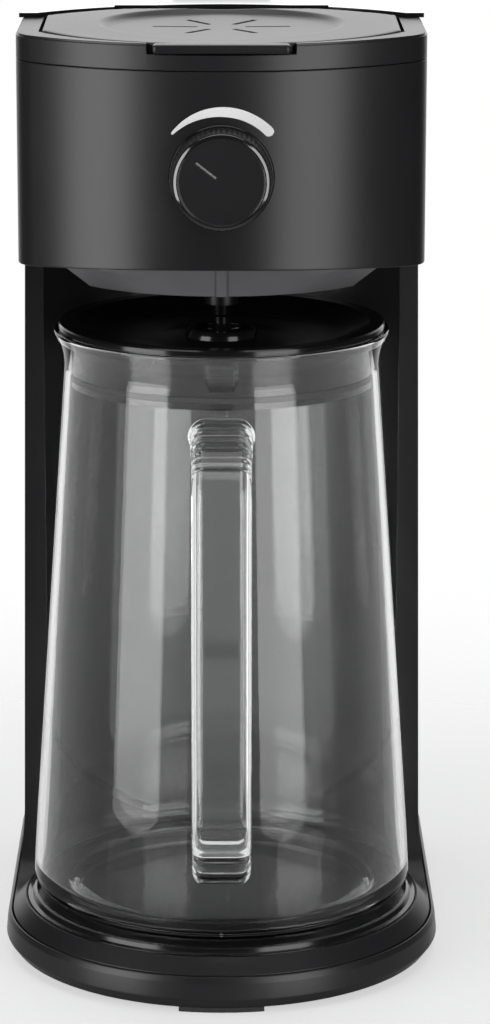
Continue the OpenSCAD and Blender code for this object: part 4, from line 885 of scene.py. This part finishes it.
class TEA_OT_knob(PieceOperator, bpy.types.Operator):
    """Fluted strength knob with a raised rim on its face and an engraved pointer"""

    bl_idname = "tea.knob"
    bl_label = "Strength knob"

    def build(self):
        """Sections of (radius, distance behind the front) are turned about the knob's axis."""
        add_piece("knob_surface", [self.grip()], "knob", "satin_black", "body_black", ["strength_knob"],
                  sharp=38)
        bead = rounded([[16.5, 0.6], [16.55, 0.05], [17.1, 0.0], [18.15, 0.5], [18.55, 1.2], [18.3, 1.6],
                        [16.5, 1.6]], [0, 0.15, 0.3, 0.4, 0.2, 0.1, 0])
        ring = faced(*np.hsplit(bead, 2), KNOB_FACE, 240)
        add_piece("knob_bead", [strip(ring, close_v=True)], "knob", "deck_black", "body_black")
        # The grey bar in the pointer's groove is a painted highlight of the groove.
        add_piece("knob_pointer_highlight", [self.pointer()], "knob", "pointer_grey", "body_black")
        r = BEZEL_R
        bezel = rounded([[r - 5, 0], [r - 0.6, 0], [r, 0.7], [r, 4.6], [r - 5, 4.6]], [0, 0.3, 0.3, 0, 0])
        ring = faced(*np.hsplit(bezel, 2), span("knob_bezel")[0][1], 192)
        add_piece("bezel_surface", [strip(ring, close_v=True)], "machine", "gloss_black", "trim_black",
                  ["knob_bezel"])
        paint("milk_plastic", "knob_shaft", "shaft_bushing", "gate_rack", "rack_guide")

    def grip(self):
        """Turned knob whose side is drawn in at each flute by the positive half of a cosine raised to a
        power, which fades out near the face. The face is sunk within the pointer's groove."""
        s, deep = sizes(), KNOB_BACK - KNOB_FACE
        section = rounded([[0.3, 0.75], [16.2, 0.7], [16.6, 0.3], [18.3, 0.9], [18.75, 1.9],
                           [KNOB_R, deep - 0.6], [KNOB_R, deep], [9.3, deep], [9.3, deep - 2],
                           [0.3, deep - 2]], [0, 0.2, 0.3, 0.3, 0.4, 0.4, 0.2, 0.3, 0.3, 0])
        turn = circle(KNOB_POINTS)
        r, d = (column + 0 * turn for column in np.hsplit(divided(section, KNOB_STEP), 2))
        side = (r > 18.2) & (d > 0.9) & (d < deep - 0.2)
        wave = np.maximum(0.0, np.cos(turn * s.flutes)) ** 1.5
        r = np.where(side, r - s.flute_depth * wave * np.clip((d - 1.0) / 1.2, 0, 1), r)
        off = turn - math.radians(POINTER_ANGLE)
        along, across = r * np.cos(off), r * np.sin(off)
        near, far = POINTER_ENDS
        groove = (np.abs(across) < POINTER_HW) & (along > near) & (along < far) & (d < 1.0)
        grid = faced(r, np.where(groove, d + POINTER_DEEP, d), KNOB_FACE, KNOB_POINTS)
        return strip(grid, cap_first=True, cap_last=True)

    def pointer(self):
        """Flat bar of grey on the floor of the pointer's groove, a painted highlight of the groove."""
        angle = math.radians(POINTER_ANGLE)
        c, s = math.cos(angle), math.sin(angle)
        near, far = (np.array([c, s]) * end for end in (POINTER_ENDS[0] + 0.4, POINTER_ENDS[1] - 0.4))
        half = np.array([-s, c]) * (POINTER_HW - 0.18)
        x, z = np.array([near - half, far - half, far + half, near + half]).T
        bar = np.stack([np.c_[x, 0 * x + KNOB_FACE + d, KNOB_Z + z] for d in (1.5, 0.95)])
        return strip(bar, cap_first=True, cap_last=True)


class TEA_OT_scale(PieceOperator, bpy.types.Operator):
    """Printed strength arc that widens from left to right above the knob"""

    bl_idname = "tea.scale"
    bl_label = "Scale arc"

    def build(self):
        """Points at even angles on a circle, widened by a sine that levels off past the middle, with the ends
        rounded."""
        s = sizes()
        share = np.linspace(0, 1, 129)
        a = np.radians(ARC_START - ARC_SWEEP * share)
        grow = np.sin(np.minimum(share / ARC_LEVEL, 1) * math.pi / 2)
        half = (s.arc_thin + (s.arc_wide - s.arc_thin) * grow) / 2
        to_end = np.minimum(share, 1 - share) * math.radians(ARC_SWEEP) * ARC_R
        half = half * np.sqrt(1 - (1 - np.clip(to_end / half, 0, 1)) ** 2)
        r = ARC_R + half[:, None] * np.linspace(-1, 1, 9)
        x, z = r * np.cos(a)[:, None], KNOB_Z + r * np.sin(a)[:, None]
        front = (HEAD_ARC - HEAD_FRONT) - np.sqrt(HEAD_ARC ** 2 - x ** 2)
        outer, inner = (np.stack([x, front + skin, z], -1) for skin in (-0.06, 0.05))
        shell = strip(np.concatenate([outer, inner[:, ::-1]], 1), cap_first=True, cap_last=True)
        add_piece("scale_arc", [shell], "machine", "print_white", "body_black")


class TEA_OT_basket(PieceOperator, bpy.types.Operator):
    """Brew basket, its filter, drip valve and spring"""

    bl_idname = "tea.basket"
    bl_label = "Brew basket"

    def build(self):
        """The basket's wall, drawn in by its taper, swells by a few millimetres towards both ends. Each row
        has its drop below the head's edge, its swell at the ends and its place across the wall."""
        outer = head_plan(1.2)
        ends = smooth_step(np.abs(outer[:, 0]) / np.linalg.norm(outer, axis=1), 0.55, 0.85)
        rows = []
        for drop, swell, skin in ((15.2, 0.1, -0.1), (8.0, 3.6, -0.1), (5.6, 4.8, -0.1), (0.1, 1.4, -0.1),
                                  (0.1, 0.6, 0.4), (5.6, 3.8, 0.4), (8.0, 2.8, 0.4), (15.2, -0.2, 0.4)):
            inset = BASKET_TAPER * (drop + 1) / BASKET_DEEP + skin - swell * ends
            rows.append(level(basket_hole(inset, outer), HEAD_Z - drop))
        add_piece("basket_flare", [strip(rows, close_v=True)], "machine", "basket_grey", "body_black")
        paint("basket_grey", "brew_basket")
        paint("filter_grey", "mesh_filter")
        paint("gloss_black", "drip_valve")
        paint("bright_steel", "drip_spring")


def jar_section():
    """Outer and inner side of the pitcher, above its foot: rounded foot, straight taper and a flare that
    grows with the square of the height."""
    h, r = JAR_TOP - JAR_Z, JAR_R
    k = np.linspace(0, 1, 15)[:, None]
    flare = (JAR_RIM - 0.4 - JAR_NECK) * k * k
    rise = h - JAR_FLARE + (JAR_FLARE - 2) * k
    outer = np.vstack([[[0.5, 1.2], [30, 1.1], [r - 17, 0.9], [r - 15.4, 0.3], [r - 14, 0.0]],
                       arc(r - JAR_FOOT, JAR_FOOT, JAR_FOOT, -90, 0, 20),
                       np.hstack([JAR_NECK + flare, rise])])
    rim = rounded([outer[-1], [JAR_RIM, h - 1.2], [JAR_RIM, h], [JAR_RIM - 2.6, h], [JAR_RIM - 3.0, h - 0.9]],
                  [0, 0.5, 0.9, 0.9, 0.3])[1:]
    bend = JAR_FOOT - 2
    inner = np.vstack([np.hstack([JAR_NECK - GLASS + flare, rise - 1])[::-1],
                       arc(r - GLASS - bend, GLASS + JAR_FOOT, bend, 0, -90, 16), [[30, 4.3], [0.5, 4.0]]])
    return np.vstack([outer, rim, inner])


def jar_wall(z):
    """Radius of the pitcher's outer wall at a height: a straight taper from the foot to the flare."""
    share = (z - JAR_Z - JAR_FOOT) / (JAR_TOP - JAR_Z - JAR_FLARE - JAR_FOOT)
    return JAR_R + (JAR_NECK - JAR_R) * share + 0.05


def handle_path():
    """Middle line of the handle, as y, z and the angle of the way outwards: a lower arm, a quarter bend, the
    grip, a second bend and an upper arm."""
    bend, mid = HANDLE_BEND, span("pitcher_handle")[0][1] + HANDLE_T / 2
    low, high = (JAR_Z + end for end in HANDLE_ENDS)
    roots = [-jar_wall(end) for end in (low, high)]
    lower, upper = (np.r_[root + 1.6, np.linspace(root - 0.6, mid + bend, 30)] for root in roots)
    upper = upper[-2::-1]
    a, b = (np.radians(np.linspace(start, start - 90, 46)[1:]) for start in (270, 180))
    grip = np.linspace(low + bend, high - bend, 60)[1:]
    y = np.r_[lower, mid + bend + bend * np.cos(a), 0 * grip + mid, mid + bend + bend * np.cos(b), upper]
    z = np.r_[0 * lower + low, low + bend * (1 + np.sin(a)), grip, high - bend * (1 - np.sin(b)),
              0 * upper + high]
    return y, z, np.r_[0 * lower + 1.5 * math.pi, a, 0 * grip + math.pi, b, 0 * upper + 0.5 * math.pi]


class TEA_OT_pitcher(PieceOperator, bpy.types.Operator):
    """Glass pitcher with a flared rim and a thick rounded foot, and its handle"""

    bl_idname = "tea.pitcher"
    bl_label = "Glass pitcher"

    def build(self):
        """The pitcher's section is turned about its axis, and the handle's is swept."""
        shell = strip(lathed(jar_section() + [0, JAR_Z], 256), close_v=True)
        add_piece("pitcher_surface", [shell], "pitcher", "clear_glass", "jar_glass", ["pitcher_glass"],
                  sharp=50)
        add_piece("handle_surface", [self.handle()], "pitcher", "clear_plastic", "jar_glass",
                  ["pitcher_handle"], sharp=60)

    def handle(self):
        """Bar with round edges carried along its middle line. It swells in rings towards both ends, most at
        the upper one, and the ends lie on the pitcher's wall."""
        y, z, face = handle_path()
        walked = np.r_[0, np.cumsum(np.hypot(np.diff(y), np.diff(z)))]
        near = np.minimum(walked, walked[-1] - walked)
        rings = RING_DEEP * (0.5 - 0.5 * np.cos(2 * math.pi * near / RING_STEP))
        swell = rings * (1 - smooth_step(near, 30, 38)) + ROOT_SWELL * (1 - smooth_step(near, 2, 9))
        swell = swell * np.where(walked > walked[-1] / 2, 1.0, 0.3)
        side = np.radians(np.r_[np.linspace(-90, 90, 15), np.linspace(90, 270, 15)])
        r = (HANDLE_T / 2 + swell)[:, None]
        x = np.repeat([HANDLE_HW - HANDLE_T / 2, HANDLE_T / 2 - HANDLE_HW], 15) + r * np.cos(side)
        out = r * np.sin(side)
        y = y[:, None] + out * np.cos(face)[:, None]
        z = z[:, None] + out * np.sin(face)[:, None]
        y = np.minimum(y, -np.sqrt(jar_wall(z) ** 2 - x ** 2))
        return strip(np.stack([x, y, z], -1), cap_first=True, cap_last=True)


class TEA_OT_pitcher_lid(PieceOperator, bpy.types.Operator):
    """Pitcher lid and its gasket"""

    bl_idname = "tea.pitcher_lid"
    bl_label = "Pitcher lid"

    def build(self):
        paint("gloss_black", "pitcher_lid")
        paint("soft_rubber", "lid_gasket")


class TEA_OT_tank(PieceOperator, bpy.types.Operator):
    """Water tank, its lid, pin, valve and spring"""

    bl_idname = "tea.tank"
    bl_label = "Water tank"

    def build(self):
        paint("smoke_plastic", "water_tank")
        paint("satin_black", "tank_lid")
        paint("milk_plastic", "tank_valve")
        paint("bright_steel", "tank_lid_pin", "tank_valve_spring")


class TEA_OT_inside(PieceOperator, bpy.types.Operator):
    """Heater, hoses, valves, wiring parts and screws inside the housings"""

    bl_idname = "tea.inside"
    bl_label = "Inner parts"

    def build(self):
        paint("hose_silicone", "riser_hose", "inlet_hose")
        paint("bright_steel", "hose_clips", "heater_bracket", "thermal_fuse", "base_screws", "head_screws")
        paint("milk_plastic", "check_valve", "thermostat", "terminal_block")
        paint("cast_alloy", "heater_block")


class TEA_OT_stage(PieceOperator, bpy.types.Operator):
    """Pale floor, white world, soft lamps and the camera"""

    bl_idname = "tea.stage"
    bl_label = "Stage"

    def build(self):
        self.floor()
        self.world()
        self.lamps()
        self.camera()

    def floor(self):
        """A round pale floor that fades into the white round it and keeps the object's shadow."""
        f = Finish("stage_floor")
        tone = f.mix(f.noise(3.0, 2.0, 0.5), colours().floor, scaled(colours().floor, 1.02))
        reach = f.node("ShaderNodeVectorMath", {"operation": "LENGTH"}, [f.place], "Value")
        f.shade(Base_Color=tone, Roughness=0.6, Alpha=reach.ramp(0.16, 0.60, FLOOR_WEIGHT, 0.0))
        turn, r = circle(96), np.array([[0.1], [0.2], [0.35], [0.5], [0.62]])
        grid = np.stack([r * np.cos(turn), r * np.sin(turn), 0 * r * turn], -1)
        floor = meshed("floor", *strip(grid, cap_first=True), f.material)
        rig.stage(floor)

    def world(self):
        """White where the camera or glass looks. Reflections see white behind the object and a dark room
        elsewhere, and what else the world lights gets an even, soft light."""
        world = bpy.data.worlds.new("studio")
        bpy.context.scene.world = world
        world.use_nodes = True
        tree = Nodes(world.node_tree)
        seen, through, mirrored = (tree.node("ShaderNodeLightPath", output="Is %s Ray" % kind)
                                   for kind in ("Camera", "Transmission", "Glossy"))
        way = tree.node("ShaderNodeTexCoord", output="Generated")
        behind = tree.node("ShaderNodeSeparateXYZ", inputs=[way], output="Y").ramp(0.72, 0.95, DARK_ROOM, 1.0)
        direct = tree.node("ShaderNodeMath", {"operation": "MAXIMUM"}, [seen, through])
        room = tree.node("ShaderNodeMix", inputs={0: mirrored, 2: SOFT_LIGHT, 3: behind})
        strength = tree.node("ShaderNodeMix", inputs={0: direct, 2: room, 3: 1.0})
        light = tree.node("ShaderNodeBackground", inputs=[(1, 1, 1), strength])
        tree.node("ShaderNodeOutputWorld", inputs=[light])

    def lamps(self):
        """Two tall soft boxes in front, one to each side, a broad one above and a pale card behind."""
        for name, place, aim, (width, height), radiance in LAMPS:
            data = bpy.data.lights.new(name, "AREA")
            data.shape, data.size, data.size_y = "RECTANGLE", width, height
            data.energy = radiance * math.pi * width * height
            lamp = bpy.data.objects.new(name, data)
            lamp.location = place
            lamp.rotation_euler = (Vector(aim) - Vector(place)).to_track_quat("-Z", "Y").to_euler()
            bpy.context.scene.collection.objects.link(lamp)

    def camera(self):
        """A long lens at the photograph's height and tilt."""
        data = bpy.data.cameras.new("camera")
        data.sensor_width, data.lens = 36.0, sizes().lens
        data.shift_x, data.clip_end = CAMERA_SHIFT, 30.0
        camera = bpy.data.objects.new("camera", data)
        camera.location = CAMERA_PLACE
        camera.rotation_euler = (math.radians(90 - CAMERA_TILT), 0, 0)
        bpy.context.scene.collection.objects.link(camera)
        bpy.context.scene.camera = camera
        bpy.context.scene.view_settings.view_transform = "Standard"


OPERATORS = (TEA_OT_base, TEA_OT_seat, TEA_OT_column, TEA_OT_head, TEA_OT_lid, TEA_OT_knob, TEA_OT_scale,
             TEA_OT_basket, TEA_OT_pitcher, TEA_OT_pitcher_lid, TEA_OT_tank, TEA_OT_inside, TEA_OT_stage)


class TEA_PT_panel(bpy.types.Panel):
    """Lists the sizes, the colours and the operators that make the pieces"""

    bl_idname = "TEA_PT_panel"
    bl_label = "Iced tea maker"
    bl_space_type = "VIEW_3D"
    bl_region_type = "UI"
    bl_category = "Tea maker"

    def draw(self, context):
        for group in (context.scene.maker_sizes, context.scene.maker_colours):
            for key in type(group).__annotations__:
                self.layout.prop(group, key)
        for operator in OPERATORS:
            self.layout.operator(operator.bl_idname)


CLASSES = (MakerSizes, MakerColours, *OPERATORS, TEA_PT_panel)


def register():
    for item in CLASSES:
        bpy.utils.register_class(item)
    bpy.types.Scene.maker_sizes = PointerProperty(type=MakerSizes)
    bpy.types.Scene.maker_colours = PointerProperty(type=MakerColours)


def unregister():
    del bpy.types.Scene.maker_sizes
    del bpy.types.Scene.maker_colours
    for item in reversed(CLASSES):
        bpy.utils.unregister_class(item)


def main():
    """Registers the classes, makes the pieces and the stage, and writes both boxes to SIZE_FILE."""
    register()
    for operator in OPERATORS:
        group, name = operator.bl_idname.split(".")
        getattr(getattr(bpy.ops, group), name)()
    bpy.context.view_layer.update()
    with open(SIZE_FILE, "w") as out:
        json.dump({"cad": CAD_BOX, "visual": [list(corner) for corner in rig.bounds()]}, out)


if __name__ == "__main__":
    main()
